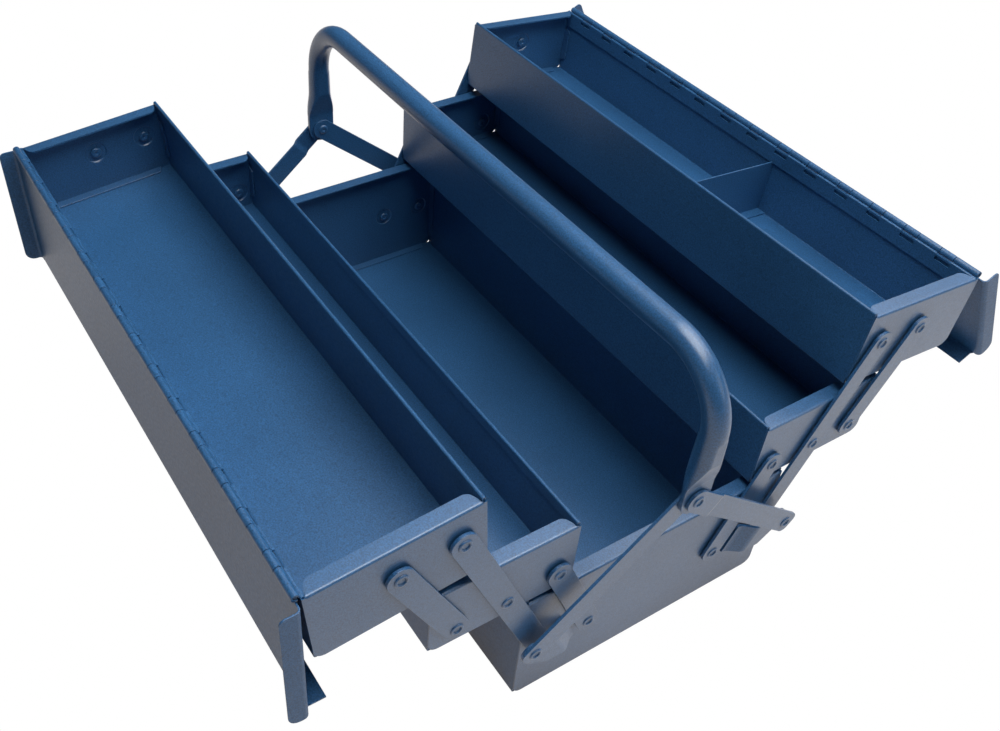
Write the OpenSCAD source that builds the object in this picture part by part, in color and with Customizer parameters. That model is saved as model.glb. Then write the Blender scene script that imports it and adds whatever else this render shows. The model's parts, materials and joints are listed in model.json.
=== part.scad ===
// Cantilever tool box: base, two middle trays, two top trays with lids, lifting handle.
// Millimetres. X runs along the box, Z is up, origin in the middle of the underside.
// Drawn with the trays swung out and the lids hanging open.

/* [Box] */
// Length over the end plates
body_l = 430; // [380:5:480]
// Width of the closed box
body_w = 203; // [194:1:220]
// Height of the base up to its end flanges
base_h = 95; // [88:1:104]
// Height of the middle trays up to their end flanges
mid_h = 48; // [44:1:54]
// Height of the top trays up to their end flanges
top_h = 53; // [50:1:60]
// Sheet thickness of pans and lids
sheet = 1; // [0.8:0.1:1.2]
// Sheet thickness of the end plates
end_t = 1.2; // [1:0.1:1.5]
// Height of the folded hems above the end flanges
hem_up = 2.3; // [2:0.1:3]
// Depth of the folded hems
hem_d = 7; // [5:0.5:9]
// Radius of the lower corners of the end plates
corner_r = 6.5; // [4:0.5:8]
// Depth of the flange along the top of each end plate
flange_d = 10; // [7:0.5:12]
// Depth of the spot-welded flanges of each end plate
weld_d = 6.5; // [5:0.5:7]
// Gap between the two middle trays when folded
mid_gap = 9; // [6:0.5:10]
// Gap between the two top trays when folded
top_gap = 2; // [1:0.5:3]
// Place of the divider along the right top tray
divider_x = 39.5; // [-40:0.5:120]
// Height of the divider above the tray underside
divider_h = 42; // [30:1:46]
// Depth of the spot-welded foot of the divider
foot_d = 8; // [6:0.5:12]

/* [Levers] */
// Width of the lever strips
lever_w = 16; // [14:0.5:16]
// Thickness of the lever strips
lever_t = 2; // [1.6:0.1:2.5]
// Distance of the outer base pivots from the sides
pivot_in = 14; // [12:0.5:15]
// Height of the base pivots
pivot_z = 46; // [40:1:50]
// Distance between long and short levers at the base
pitch = 36; // [34:0.5:37]
// Distance between long and short levers on the top trays
top_pitch = 36.5; // [34:0.5:38]
// Height of the pivots above the middle tray undersides
mid_pivot = 14.7; // [12:0.1:18]
// Depth of the pivots below the top tray end flanges
top_pivot = 22; // [20:0.5:24]
// Folded distance of the top pivots from the middle of the box
fold_y = 16; // [13:0.5:17]
// How much less the levers lean when swung out than when folded
lean_less = 3.2; // [2.5:0.1:6]
// Outward lean of the swung-out top trays
tilt = 5; // [2:0.1:6]

/* [Lids] */
// Height of the upright lip at the free edge of each lid
lip_h = 9.5; // [6:0.1:11]
// Depth of the end flanges of the lids
skirt_d = 12; // [8:0.5:13]
// Setback of the lid lips from the hems of the top trays
lip_back = 4.2; // [0.5:0.1:8]
// Opening angle of the right lid
right_open = 238; // [180:1:255]
// Number of lid knuckles in each hinge
knuckles = 14; // [8:1:16]
// Length of each lid knuckle
knuckle_l = 11; // [8:0.5:14]
// Outer radius of the hinge knuckles
knuckle_r = 2.4; // [2.2:0.1:2.8]
// Radius of the hinge wires
wire_r = 1.2; // [1:0.05:1.3]

/* [Handle] */
// Height of the handle pivots with the trays swung out
hub_z = 143.5; // [138:0.5:150]
// Sideways offset of the arm pivots from the base pivots
arm_out = 12.5; // [11:0.5:13]
// Rise of the arm pivots above the base pivots
arm_up = 15; // [14:0.5:16]
// Outer diameter of the handle tube
tube_d = 16; // [14:0.5:17]
// Wall of the handle tube
tube_wall = 1.5; // [1:0.1:2]
// Centre radius of the handle bends
bend_r = 42; // [30:1:55]
// Finger room between the folded box and the handle bar
grip_gap = 44; // [38:0.5:60]
// Thickness of the flattened handle ends
flat_t = 3; // [2.5:0.1:3.5]
// Width of the flattened handle ends
flat_w = 22; // [20:0.5:24]
// Height above the pivots up to which the handle ends are flat
flat_up = 12; // [10:0.5:15]
// Height above the pivots from which the handle is round
round_up = 34; // [30:1:38]

/* [Fits] */
// Radius of the rivet shanks
rivet_r = 2.5; // [2:0.1:3]
// Radius of the rivet heads
head_r = 4.75; // [4:0.05:5]
// Height of the rivet heads
head_h = 1.3; // [1:0.1:1.5]
// Running clearance around rivets and hinge wires
run = 0.05; // [0.03:0.01:0.08]
// Clearance in the far holes of the lower short levers
loop_low = 0.2; // [0.15:0.05:0.4]
// Clearance in the far holes of the upper short levers
loop_up = 0.55; // [0.5:0.05:0.7]
// Clearance in the handle pivot holes of the left arms
loop_arm = 0.5; // [0.45:0.05:0.7]
// Gap between parts that pass each other
slip = 0.3; // [0.2:0.05:0.4]
// Gap between the faces of parts joined by welding
seam = 0.05; // [0.02:0.01:0.1]
// Gap under the folded middle trays
mid_rest = 0.8; // [0.5:0.1:2]
// Gap under the folded top trays
top_rest = 2.9; // [1.5:0.1:3.5]

/* [Hidden] */
$fn = 48;
hem_t = 2 * sheet + slip;
strip_d = 12;
fold_r = sheet + 0.5;
pan_l = body_l - 2 * (end_t + seam);
base_top = base_h + hem_up;
mid_w = (body_w - mid_gap) / 2;
top_w = (body_w - top_gap) / 2;

// Folded heights give the lever lengths.
mid_z = base_top + mid_rest;
top_z = mid_z + mid_h + hem_up + top_rest;
top_u = top_h - top_pivot;
pivot_y = body_w / 2 - pivot_in;
rise_t = top_z + top_u - pivot_z;
rise_m = mid_z + mid_pivot - pivot_z;
lean_in = atan2(pivot_y - fold_y, rise_t);
lean_out = lean_in - lean_less;
swing = lean_in + lean_out;
long_l = rise_t / cos(lean_in);
low_l = rise_m / cos(lean_in);
up_l = long_l - low_l;
mid_s = pivot_y - low_l * sin(lean_in) - mid_gap / 2;
top_s = fold_y - top_gap / 2;

// Upper short lever: equal length in the folded and the swung-out place.
fold_ty = top_pitch - up_l * sin(lean_in);
fold_tz = up_l * cos(lean_in);
out_ty = up_l * sin(lean_out) + top_pitch * cos(tilt);
out_tz = up_l * cos(lean_out) - top_pitch * sin(tilt);
up_gap = (out_ty * out_ty + out_tz * out_tz - fold_ty * fold_ty - fold_tz * fold_tz)
    / (2 * (out_ty - fold_ty));
up_short = norm([out_ty - up_gap, out_tz]);
up_out = atan2(out_ty - up_gap, out_tz);
up_in = atan2(fold_ty - up_gap, fold_tz);

// Swung-out places as [y, z] on the right-hand side.
boss_drop = [0.5, -3];
p_base = [pivot_y, pivot_z];
p_base_in = [pivot_y - pitch, pivot_z];
p_mid = p_base + low_l * [sin(lean_out), cos(lean_out)];
p_mid_in = p_mid - [pitch, 0];
p_mid_out = p_mid + [up_gap, 0];
p_top = p_base + long_l * [sin(lean_out), cos(lean_out)];
p_top_out = p_top + top_pitch * [cos(tilt), -sin(tilt)];
p_arm = p_base + [arm_out, arm_up];
p_boss = p_arm + boss_drop;
p_hub = [0, hub_z];
arm_l = norm(p_arm - p_hub);
arm_a = atan2(hub_z - p_arm[1], p_arm[0]);

// Folded place of the handle pivot sets the height of the bar.
crank_r = norm([arm_out, arm_up]);
crank_a = atan2(arm_up, arm_out) + swing;
fold_arm = p_base + crank_r * [cos(crank_a), sin(crank_a)];
fold_hub = fold_arm[1] + sqrt(arm_l * arm_l - fold_arm[0] * fold_arm[0]);
fold_top = top_z + top_h + hem_up;
bar_z = hub_z + fold_top + grip_gap + tube_d / 2 - fold_hub;
flat_z = hub_z + flat_up;
round_z = hub_z + round_up;

// Layers outward from the end plates.
x_end = body_l / 2;
lever_gap = 1;
washer_t = lever_gap - 2 * seam;
x_lever = x_end + lever_gap;
x_head = x_lever + lever_t + run;
foot_gap = head_h + 3.7;
x_foot = x_lever + lever_t + foot_gap;
x_inner = x_foot + lever_t + slip;
x_leg = x_inner + lever_t + slip;
x_outer = x_leg + flat_t + slip;
joggle = lever_t;
x_outer_low = x_outer - joggle;
leg_x = x_leg + flat_t / 2;
tail_h = 0.85;

// Crank foot outline.
foot_in = 21;
foot_low = 6.5;
foot_high = 9;
foot_lean = 7.2;
boss_r = lever_w / 2 - 0.5;
relief_r = 2;

// Lid.
hinge_out = 2;
hinge_s = top_w + hinge_out;
hinge_u = top_h + slip + sheet / 2;
lid_low = top_h + slip;
lid_free = hem_t + lip_back;
lid_back = top_w - sheet - slip;
lid_end = x_end + slip;
skirt_u = lid_low + sheet - skirt_d;
skirt_r = skirt_d * 0.55;
pitch_k = (body_l - 2 * (end_t + seam) - 20) / knuckles;
end_k = pan_l / 2 - 0.8;
lip_reach = hinge_s - lid_free - sheet;
lip_out = lip_h + sheet / 2;
lid_shy = atan2(lip_out, lip_reach) + asin((0.4 - hinge_out) / norm([lip_out, lip_reach]));
left_open = 270 - lid_shy;

paint = [0.12, 0.27, 0.44];
steel = [0.35, 0.4, 0.46];

// Helpers.
module yz(x0, t) {
    translate([x0, 0, 0]) rotate([90, 0, 90]) linear_extrude(t) children();
}

module left_side() {
    mirror([0, 1, 0]) children();
}

module far_end() {
    mirror([1, 0, 0]) children();
}

module turned() {
    rotate([0, 0, 180]) children();
}

module rod(p, r, x0, x1) {
    translate([x0, p[0], p[1]]) rotate([0, 90, 0]) cylinder(r = r, h = x1 - x0);
}

module strip(p, q, w) {
    d = q - p;
    translate(p) rotate(atan2(d[1], d[0])) {
        circle(w / 2);
        translate([norm(d), 0]) circle(w / 2);
        translate([0, -w / 2]) square([norm(d), w]);
    }
}

module on_mid() {
    translate([0, p_mid[0] - mid_s, p_mid[1] - mid_pivot]) children();
}

module on_top() {
    translate([0, p_top[0], p_top[1]]) rotate([-tilt, 0, 0])
        translate([0, -top_s, -top_u]) children();
}

// Pans and end plates.
module foot_round(w, h, r) {
    translate([0, r]) square([w, h - r]);
    translate([r, 0]) square([w - 2 * r, h]);
    translate([r, r]) circle(r);
    translate([w - r, r]) circle(r);
}

module channel(w, h_in, h_out) {
    difference() {
        foot_round(w, max(h_in, h_out), fold_r);
        translate([sheet, sheet]) foot_round(w - 2 * sheet, body_w, fold_r - sheet);
        translate([-1, h_in]) square([w / 2 + 1, body_w]);
        translate([w / 2, h_out]) square([w / 2 + 1, body_w]);
    }
}

module hem(top) {
    translate([0, top - hem_d]) square([hem_t, hem_d - hem_t / 2]);
    translate([hem_t / 2, top - hem_t / 2]) circle(hem_t / 2);
}

module reliefs(w) {
    for (m = [0, 1])
        mirror([m, 0, 0])
            for (s = [relief_r + 0.3, w - relief_r - 0.3])
                rod([s, relief_r + 0.3], relief_r, x_end - end_t - 1, x_end + 1);
}

module corner_cuts(w) {
    for (m = [0, 1])
        mirror([m, 0, 0])
            for (s = [0.5, w - 0.5])
                rod([s, 0.5], relief_r, pan_l / 2 - 1.5, body_l);
}

module pan(w, h) {
    top = h + hem_up;
    difference() {
        yz(-pan_l / 2, pan_l) {
            channel(w, top - hem_t / 2, top - hem_t / 2);
            hem(top);
            translate([w, 0]) mirror([1, 0]) hem(top);
        }
        corner_cuts(w);
    }
}

module end_plate(w, h, fold_d, holes) {
    x_in = x_end - end_t;
    edge = hem_t + slip + 0.1;
    land = corner_r + 2;
    difference() {
        union() {
            yz(x_in, end_t) foot_round(w, h, corner_r);
            translate([0, 0, h - end_t]) linear_extrude(end_t) polygon([
                [x_end, edge], [x_end, w - edge],
                [x_in - flange_d / 3, w - edge], [x_end - flange_d, w - edge - flange_d * 0.6],
                [x_end - flange_d, edge + flange_d * 0.6], [x_in - flange_d / 3, edge]]);
            translate([x_in - weld_d, land, sheet + seam]) cube([weld_d + end_t / 2, w - 2 * land, sheet]);
            for (side = [[sheet + seam, hem_d], [w - 2 * sheet - seam, fold_d]])
                translate([x_in - weld_d, side[0], land])
                    cube([weld_d + end_t / 2, sheet, h - land - side[1] - 2]);
        }
        for (p = holes)
            rod(p, rivet_r + seam / 2, x_in - 1, x_end + 1);
        reliefs(w);
    }
}

module rivets(points, x0, x1) {
    for (p = points) {
        difference() {
            union() {
                rod(p, rivet_r, x0 - tail_h / 2, x1 + head_h / 2);
                rod(p, head_r, x1, x1 + head_h);
                rod(p, head_r - 0.4, x0 - tail_h, x0);
            }
            rod(p, rivet_r * 0.7, x1 + head_h - 0.6, x1 + head_h + 1);
            rod(p, rivet_r * 0.6, x0 - tail_h - 1, x0 - tail_h + 0.4);
        }
    }
}

module tray_rivets(points) {
    for (m = [0, 1])
        mirror([m, 0, 0]) rivets(points, x_end - end_t - seam, x_head);
}

module washers(points) {
    for (m = [0, 1])
        mirror([m, 0, 0])
            for (p = points)
                difference() {
                    rod(p, lever_w / 2 - 1, x_end + seam, x_end + seam + washer_t);
                    rod(p, rivet_r + seam, x_end - 1, x_end + 2);
                }
}

base_holes = [for (k = [-1, 1]) for (q = [p_base, p_base_in]) [body_w / 2 + k * q[0], q[1]]];
base_pins = [for (k = [-1, 1]) for (q = [p_base, p_base_in]) [k * q[0], q[1]]];
mid_holes = [[mid_s, mid_pivot], [mid_s - pitch, mid_pivot], [mid_s + up_gap, mid_pivot]];
top_holes = [[top_s, top_u], [top_s + top_pitch, top_u]];

module base_end() {
    translate([0, -body_w / 2, 0]) end_plate(body_w, base_h, hem_d, base_holes);
}

module mid_end() {
    on_mid() end_plate(mid_w, mid_h, hem_d, mid_holes);
}

module top_end() {
    on_top() end_plate(top_w, top_h, strip_d, top_holes);
}

module top_pan() {
    top = top_h + hem_up;
    on_top() difference() {
        union() {
            yz(-pan_l / 2, pan_l) {
                channel(top_w, top - hem_t / 2, top_h);
                hem(top);
                translate([top_w - hem_t, top_h - strip_d]) square([hem_t - sheet / 2, strip_d]);
            }
            for (k = [0:knuckles])
                tray_knuckle(k);
        }
        rod([hinge_s, hinge_u], wire_r + run, -body_l, body_l);
        corner_cuts(top_w);
        for (k = [0:knuckles - 1])
            translate([lid_knuckle_x(k) - knuckle_l / 2 - slip, top_w - hem_t - 1,
                hinge_u - knuckle_r - slip])
                cube([knuckle_l + 2 * slip, hem_t + 6, top_h]);
    }
}

function lid_knuckle_x(k) = (k - (knuckles - 1) / 2) * pitch_k;
function tray_x0(k) = k == 0 ? -end_k : lid_knuckle_x(k - 1) + knuckle_l / 2 + slip;
function tray_x1(k) = k == knuckles ? end_k : lid_knuckle_x(k) - knuckle_l / 2 - slip;

module tray_knuckle(k) {
    rod([hinge_s, hinge_u], knuckle_r, tray_x0(k), tray_x1(k));
    translate([tray_x0(k), top_w - sheet, top_h - 1])
        cube([tray_x1(k) - tray_x0(k), sheet, hinge_u - top_h + 1 + knuckle_r / 2]);
}

module divider() {
    inset = sheet + seam;
    cut_x = divider_x - sheet;
    cut_l = foot_d + 2 * sheet;
    on_top() difference() {
        union() {
            yz(divider_x - sheet / 2, sheet) translate([inset, sheet + seam])
                square([top_w - 2 * inset, divider_h - sheet]);
            translate([divider_x, inset, sheet + seam]) cube([foot_d, top_w - 2 * inset, sheet]);
        }
        translate([cut_x, -1, top_h - hem_d]) cube([cut_l, hem_t + slip + 1, top_h]);
        for (s = [0, top_w - fold_r - slip])
            translate([cut_x, s, 0]) cube([cut_l, fold_r + slip, fold_r + slip]);
        translate([cut_x, top_w - hem_t - slip, top_h - strip_d - 1])
            cube([cut_l, hem_t + slip + 1, top_h]);
    }
}

// Lid drawn closed in the frame of its tray.
module lid_shape() {
    half = lid_end + sheet;
    difference() {
        union() {
            translate([-half, lid_free, lid_low]) cube([2 * half, lid_back - lid_free, sheet]);
            translate([-end_k, lid_free, lid_low]) cube([2 * end_k, sheet, sheet + lip_h]);
            for (m = [0, 1])
                mirror([m, 0, 0]) yz(lid_end, sheet) skirt();
            for (k = [0:knuckles - 1]) {
                translate([lid_knuckle_x(k) - knuckle_l / 2, lid_back - 1, lid_low])
                    cube([knuckle_l, hinge_s - lid_back + 1, sheet]);
                rod([hinge_s, hinge_u], knuckle_r, lid_knuckle_x(k) - knuckle_l / 2,
                    lid_knuckle_x(k) + knuckle_l / 2);
            }
        }
        rod([hinge_s, hinge_u], wire_r + run, -body_l, body_l);
    }
}

module skirt() {
    translate([lid_free, skirt_u + skirt_r]) square([lid_back - lid_free, skirt_d - skirt_r]);
    translate([lid_free + skirt_r, skirt_u]) square([lid_back - lid_free - skirt_r, skirt_r + 1]);
    intersection() {
        translate([lid_free + skirt_r, skirt_u + skirt_r]) circle(skirt_r);
        translate([lid_free, skirt_u]) square(skirt_d);
    }
}

module lid(open) {
    on_top() translate([0, hinge_s, hinge_u]) rotate([-open, 0, 0])
        translate([0, -hinge_s, -hinge_u]) lid_shape();
}

module hinge_wire() {
    on_top() rod([hinge_s, hinge_u], wire_r, -end_k, end_k);
}

// Levers.
module long_lever() {
    hole = rivet_r + run;
    difference() {
        union() {
            yz(x_lever, lever_t) {
                strip(p_base, p_top, lever_w);
                translate(p_base - [foot_in, foot_low]) square([foot_in, foot_low + foot_high]);
            }
            translate([x_lever, pivot_y - foot_in, pivot_z - foot_low])
                linear_extrude(foot_low + foot_high) polygon([
                    [0, 0], [x_foot + lever_t - x_lever, foot_lean],
                    [x_foot + lever_t - x_lever, foot_lean + 1.4 * lever_t], [0, 1.4 * lever_t]]);
            yz(x_foot, lever_t) {
                translate(p_boss) circle(boss_r);
                polygon([p_base + [foot_lean - foot_in, -foot_low], p_base + [3, -foot_low],
                    p_boss + boss_r * [0.707, -0.707], p_boss + boss_r * [-0.43, 0.903],
                    p_base + [foot_lean - foot_in, foot_high]]);
            }
        }
        for (p = [p_base, p_mid, p_top])
            rod(p, hole, x_lever - 1, x_lever + lever_t + 1);
        rod(p_arm, rivet_r + seam / 2, x_foot - 1, x_foot + lever_t + 1);
    }
}

module short_lever(p, q, loop) {
    difference() {
        yz(x_lever, lever_t) strip(p, q, lever_w);
        rod(p, rivet_r + run, x_lever - 1, x_lever + lever_t + 1);
        rod(q, rivet_r + loop, x_lever - 1, x_lever + lever_t + 1);
    }
}

module lower_lever() {
    short_lever(p_base_in, p_mid_in, loop_low);
}

module upper_lever() {
    short_lever(p_mid_out, p_top_out, loop_up);
}

// Handle arms.
module inner_arm(loop) {
    difference() {
        yz(x_inner, lever_t) strip(p_arm, p_hub, lever_w);
        rod(p_arm, rivet_r + run, x_inner - 1, x_inner + lever_t + 1);
        rod(p_hub, rivet_r + loop, x_inner - 1, x_inner + lever_t + 1);
    }
}

module outer_arm(loop) {
    bend_a = arm_l - 25.5;
    bend_b = arm_l - 21.5;
    far = arm_l + lever_w;
    translate([0, p_arm[0], p_arm[1]]) rotate([180 - arm_a, 0, 0]) difference() {
        intersection() {
            yz(x_outer_low - 1, 2 * lever_t + joggle + 2) strip([0, 0], [arm_l, 0], lever_w);
            translate([x_outer_low, 0, -lever_w]) linear_extrude(2 * lever_w) polygon([
                [0, -lever_w], [0, bend_a], [joggle, bend_b], [joggle, far],
                [joggle + lever_t, far], [joggle + lever_t, bend_b], [lever_t, bend_a],
                [lever_t, -lever_w]]);
        }
        rod([0, 0], rivet_r + run, x_foot, x_outer + lever_t + 3);
        rod([arm_l, 0], rivet_r + loop, x_foot, x_outer + lever_t + 3);
    }
}

module spacer() {
    difference() {
        rod(p_arm, lever_w / 2 - 2, x_foot + lever_t + seam, x_outer_low - seam);
        rod(p_arm, rivet_r + seam, x_foot, x_outer);
    }
}

module inner_arm_rivet() {
    rivets([p_arm], x_foot - seam, x_inner + lever_t + run);
}

module outer_arm_rivet() {
    rivets([p_arm], x_foot - seam, x_outer_low + lever_t + run);
}

module hub_rivet() {
    rivets([p_hub], x_inner - seam, x_outer + lever_t + run);
}

// Handle.
module leg_profile(r) {
    bend_z = bar_z - bend_r;
    translate([leg_x, 0, round_z]) cylinder(r = r, h = bend_z - round_z);
    translate([leg_x - bend_r, 0, bend_z]) rotate([90, 0, 0])
        rotate_extrude(angle = 90) translate([bend_r, 0]) circle(r);
}

module flat_end() {
    rise = round_z - flat_z;
    yz(x_leg, flat_t) strip(p_hub, [0, flat_z], flat_w);
    intersection() {
        translate([leg_x, 0, flat_z]) cylinder(r1 = flat_w / 2, r2 = tube_d / 2, h = rise);
        translate([leg_x, flat_w, flat_z]) rotate([90, 0, 0]) linear_extrude(2 * flat_w) polygon([
            [-flat_t / 2, 0], [flat_t / 2, 0], [tube_d / 2, rise], [-tube_d / 2, rise]]);
    }
}

module handle() {
    bar_l = 2 * (leg_x - bend_r);
    difference() {
        union() {
            for (a = [0, 180])
                rotate([0, 0, a]) {
                    leg_profile(tube_d / 2);
                    flat_end();
                }
            translate([-bar_l / 2, 0, bar_z]) rotate([0, 90, 0]) cylinder(r = tube_d / 2, h = bar_l);
        }
        for (a = [0, 180])
            rotate([0, 0, a]) {
                leg_profile(tube_d / 2 - tube_wall);
                rod(p_hub, rivet_r + run, x_inner, x_outer + lever_t);
            }
        translate([-bar_l / 2, 0, bar_z]) rotate([0, 90, 0])
            cylinder(r = tube_d / 2 - tube_wall, h = bar_l);
    }
}

// Sub-parts.
module base_pan() { color(paint) translate([0, -body_w / 2, 0]) pan(body_w, base_h); }
module base_end_near() { color(paint) base_end(); }
module base_end_far() { color(paint) far_end() base_end(); }
module right_mid_pan() { color(paint) on_mid() pan(mid_w, mid_h); }
module right_mid_end_near() { color(paint) mid_end(); }
module right_mid_end_far() { color(paint) far_end() mid_end(); }
module left_mid_pan() { color(paint) left_side() on_mid() pan(mid_w, mid_h); }
module left_mid_end_near() { color(paint) left_side() mid_end(); }
module left_mid_end_far() { color(paint) far_end() left_side() mid_end(); }
module right_top_pan() { color(paint) top_pan(); }
module right_top_end_near() { color(paint) top_end(); }
module right_top_end_far() { color(paint) far_end() top_end(); }
module right_top_divider() { color(paint) divider(); }
module left_top_pan() { color(paint) left_side() top_pan(); }
module left_top_end_near() { color(paint) left_side() top_end(); }
module left_top_end_far() { color(paint) far_end() left_side() top_end(); }
module right_lid() { color(paint) lid(right_open); }
module left_lid() { color(paint) left_side() lid(left_open); }
module right_hinge_wire() { color(steel) hinge_wire(); }
module left_hinge_wire() { color(steel) left_side() hinge_wire(); }
module right_long_lever_near() { color(paint) long_lever(); }
module right_long_lever_far() { color(paint) far_end() long_lever(); }
module left_long_lever_near() { color(paint) left_side() long_lever(); }
module left_long_lever_far() { color(paint) far_end() left_side() long_lever(); }
module right_lower_lever_near() { color(paint) lower_lever(); }
module right_lower_lever_far() { color(paint) far_end() lower_lever(); }
module left_lower_lever_near() { color(paint) left_side() lower_lever(); }
module left_lower_lever_far() { color(paint) far_end() left_side() lower_lever(); }
module right_upper_lever_near() { color(paint) upper_lever(); }
module right_upper_lever_far() { color(paint) far_end() upper_lever(); }
module left_upper_lever_near() { color(paint) left_side() upper_lever(); }
module left_upper_lever_far() { color(paint) far_end() left_side() upper_lever(); }
module right_arm_near() { color(paint) outer_arm(run); }
module right_arm_far() { color(paint) far_end() inner_arm(run); }
module left_arm_near() { color(paint) left_side() inner_arm(loop_arm); }
module left_arm_far() { color(paint) turned() outer_arm(loop_arm); }
module handle_tube() { color(paint) handle(); }
module handle_rivets() {
    color(paint) {
        hub_rivet();
        turned() hub_rivet();
    }
}
module base_rivets() { color(paint) tray_rivets(base_pins); }
module right_mid_rivets() { color(paint) on_mid() tray_rivets(mid_holes); }
module left_mid_rivets() { color(paint) left_side() on_mid() tray_rivets(mid_holes); }
module right_top_rivets() { color(paint) on_top() tray_rivets(top_holes); }
module left_top_rivets() { color(paint) left_side() on_top() tray_rivets(top_holes); }
module right_arm_rivets() {
    color(paint) {
        outer_arm_rivet();
        far_end() inner_arm_rivet();
    }
}
module left_arm_rivets() {
    color(paint) {
        left_side() inner_arm_rivet();
        turned() outer_arm_rivet();
    }
}
module base_washers() { color(paint) washers(base_pins); }
module right_mid_washers() { color(paint) on_mid() washers(mid_holes); }
module left_mid_washers() { color(paint) left_side() on_mid() washers(mid_holes); }
module right_top_washers() { color(paint) on_top() washers(top_holes); }
module left_top_washers() { color(paint) left_side() on_top() washers(top_holes); }
module right_arm_spacer() { color(paint) spacer(); }
module left_arm_spacer() { color(paint) turned() spacer(); }

base_pan();
base_end_near();
base_end_far();
right_mid_pan();
right_mid_end_near();
right_mid_end_far();
left_mid_pan();
left_mid_end_near();
left_mid_end_far();
right_top_pan();
right_top_end_near();
right_top_end_far();
right_top_divider();
left_top_pan();
left_top_end_near();
left_top_end_far();
right_lid();
left_lid();
right_hinge_wire();
left_hinge_wire();
right_long_lever_near();
right_long_lever_far();
left_long_lever_near();
left_long_lever_far();
right_lower_lever_near();
right_lower_lever_far();
left_lower_lever_near();
left_lower_lever_far();
right_upper_lever_near();
right_upper_lever_far();
left_upper_lever_near();
left_upper_lever_far();
right_arm_near();
right_arm_far();
left_arm_near();
left_arm_far();
handle_tube();
handle_rivets();
base_rivets();
right_mid_rivets();
left_mid_rivets();
right_top_rivets();
left_top_rivets();
right_arm_rivets();
left_arm_rivets();
base_washers();
right_mid_washers();
left_mid_washers();
right_top_washers();
left_top_washers();
right_arm_spacer();
left_arm_spacer();
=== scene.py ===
import json
import math

import bmesh
import bpy
from bpy.props import FloatProperty, FloatVectorProperty, IntProperty, PointerProperty
from bpy.types import Operator, Panel, PropertyGroup
from mathutils import Matrix, Vector


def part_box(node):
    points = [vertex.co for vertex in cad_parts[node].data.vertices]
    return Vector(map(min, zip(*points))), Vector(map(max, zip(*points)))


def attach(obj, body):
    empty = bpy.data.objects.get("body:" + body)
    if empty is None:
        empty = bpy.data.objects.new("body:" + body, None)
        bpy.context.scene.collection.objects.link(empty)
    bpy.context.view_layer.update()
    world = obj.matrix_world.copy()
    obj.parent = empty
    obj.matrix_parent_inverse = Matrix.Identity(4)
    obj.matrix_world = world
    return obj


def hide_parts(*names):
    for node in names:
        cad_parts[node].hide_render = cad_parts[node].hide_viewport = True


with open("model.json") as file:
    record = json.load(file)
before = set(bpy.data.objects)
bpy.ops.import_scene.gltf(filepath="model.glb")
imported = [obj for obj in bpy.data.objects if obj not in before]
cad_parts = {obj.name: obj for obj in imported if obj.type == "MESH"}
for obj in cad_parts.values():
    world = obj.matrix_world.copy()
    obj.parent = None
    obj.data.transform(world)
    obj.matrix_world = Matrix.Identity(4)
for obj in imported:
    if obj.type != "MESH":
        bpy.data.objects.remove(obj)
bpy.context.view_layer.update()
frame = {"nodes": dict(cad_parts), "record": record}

bl_info = {
    "name": "Cantilever tool box",
    "version": (1, 0, 0),
    "blender": (4, 5, 0),
    "location": "View3D > Sidebar > Tool box",
    "description": "Folded sheet trays, lids, levers and handle of a cantilever tool box",
    "category": "Object",
}

MM = 0.001
# Lengths that differ by less than this are the same; close rings and profiles need the finer one
TINY = 1e-5
FINE = 1e-6
JOINTS = frame["record"]["behaviour"]["joints"]
PIVOTS = {joint["name"]: Vector(joint["pos_m"]) for joint in JOINTS}
SWINGS = {joint["name"]: math.radians(joint["range_deg"][1]) for joint in JOINTS}


def node_span(node, axis):
    """Length of a solid along one axis."""
    low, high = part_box(node)
    return high[axis] - low[axis]


def node_slab(node):
    """The x range of a solid."""
    low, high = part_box(node)
    return low[0], high[0]


# Half the length of the trays, and the outer face of the near end plates
HALF = node_span("base_pan", 0) / 2
END_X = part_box("base_end_near")[1][0]
# Share of half a strip's width that rounds its end without doubling points
ROUND_END = 0.97
# Names of the lever pivots on each kind of tray
LEVER_PIVOTS = {"base": ("base", "base_in"), "mid": ("mid", "mid_in", "mid_out"),
                "top": ("top", "top_out")}


# ---------------------------------------------------------------- sizes and colours


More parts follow.
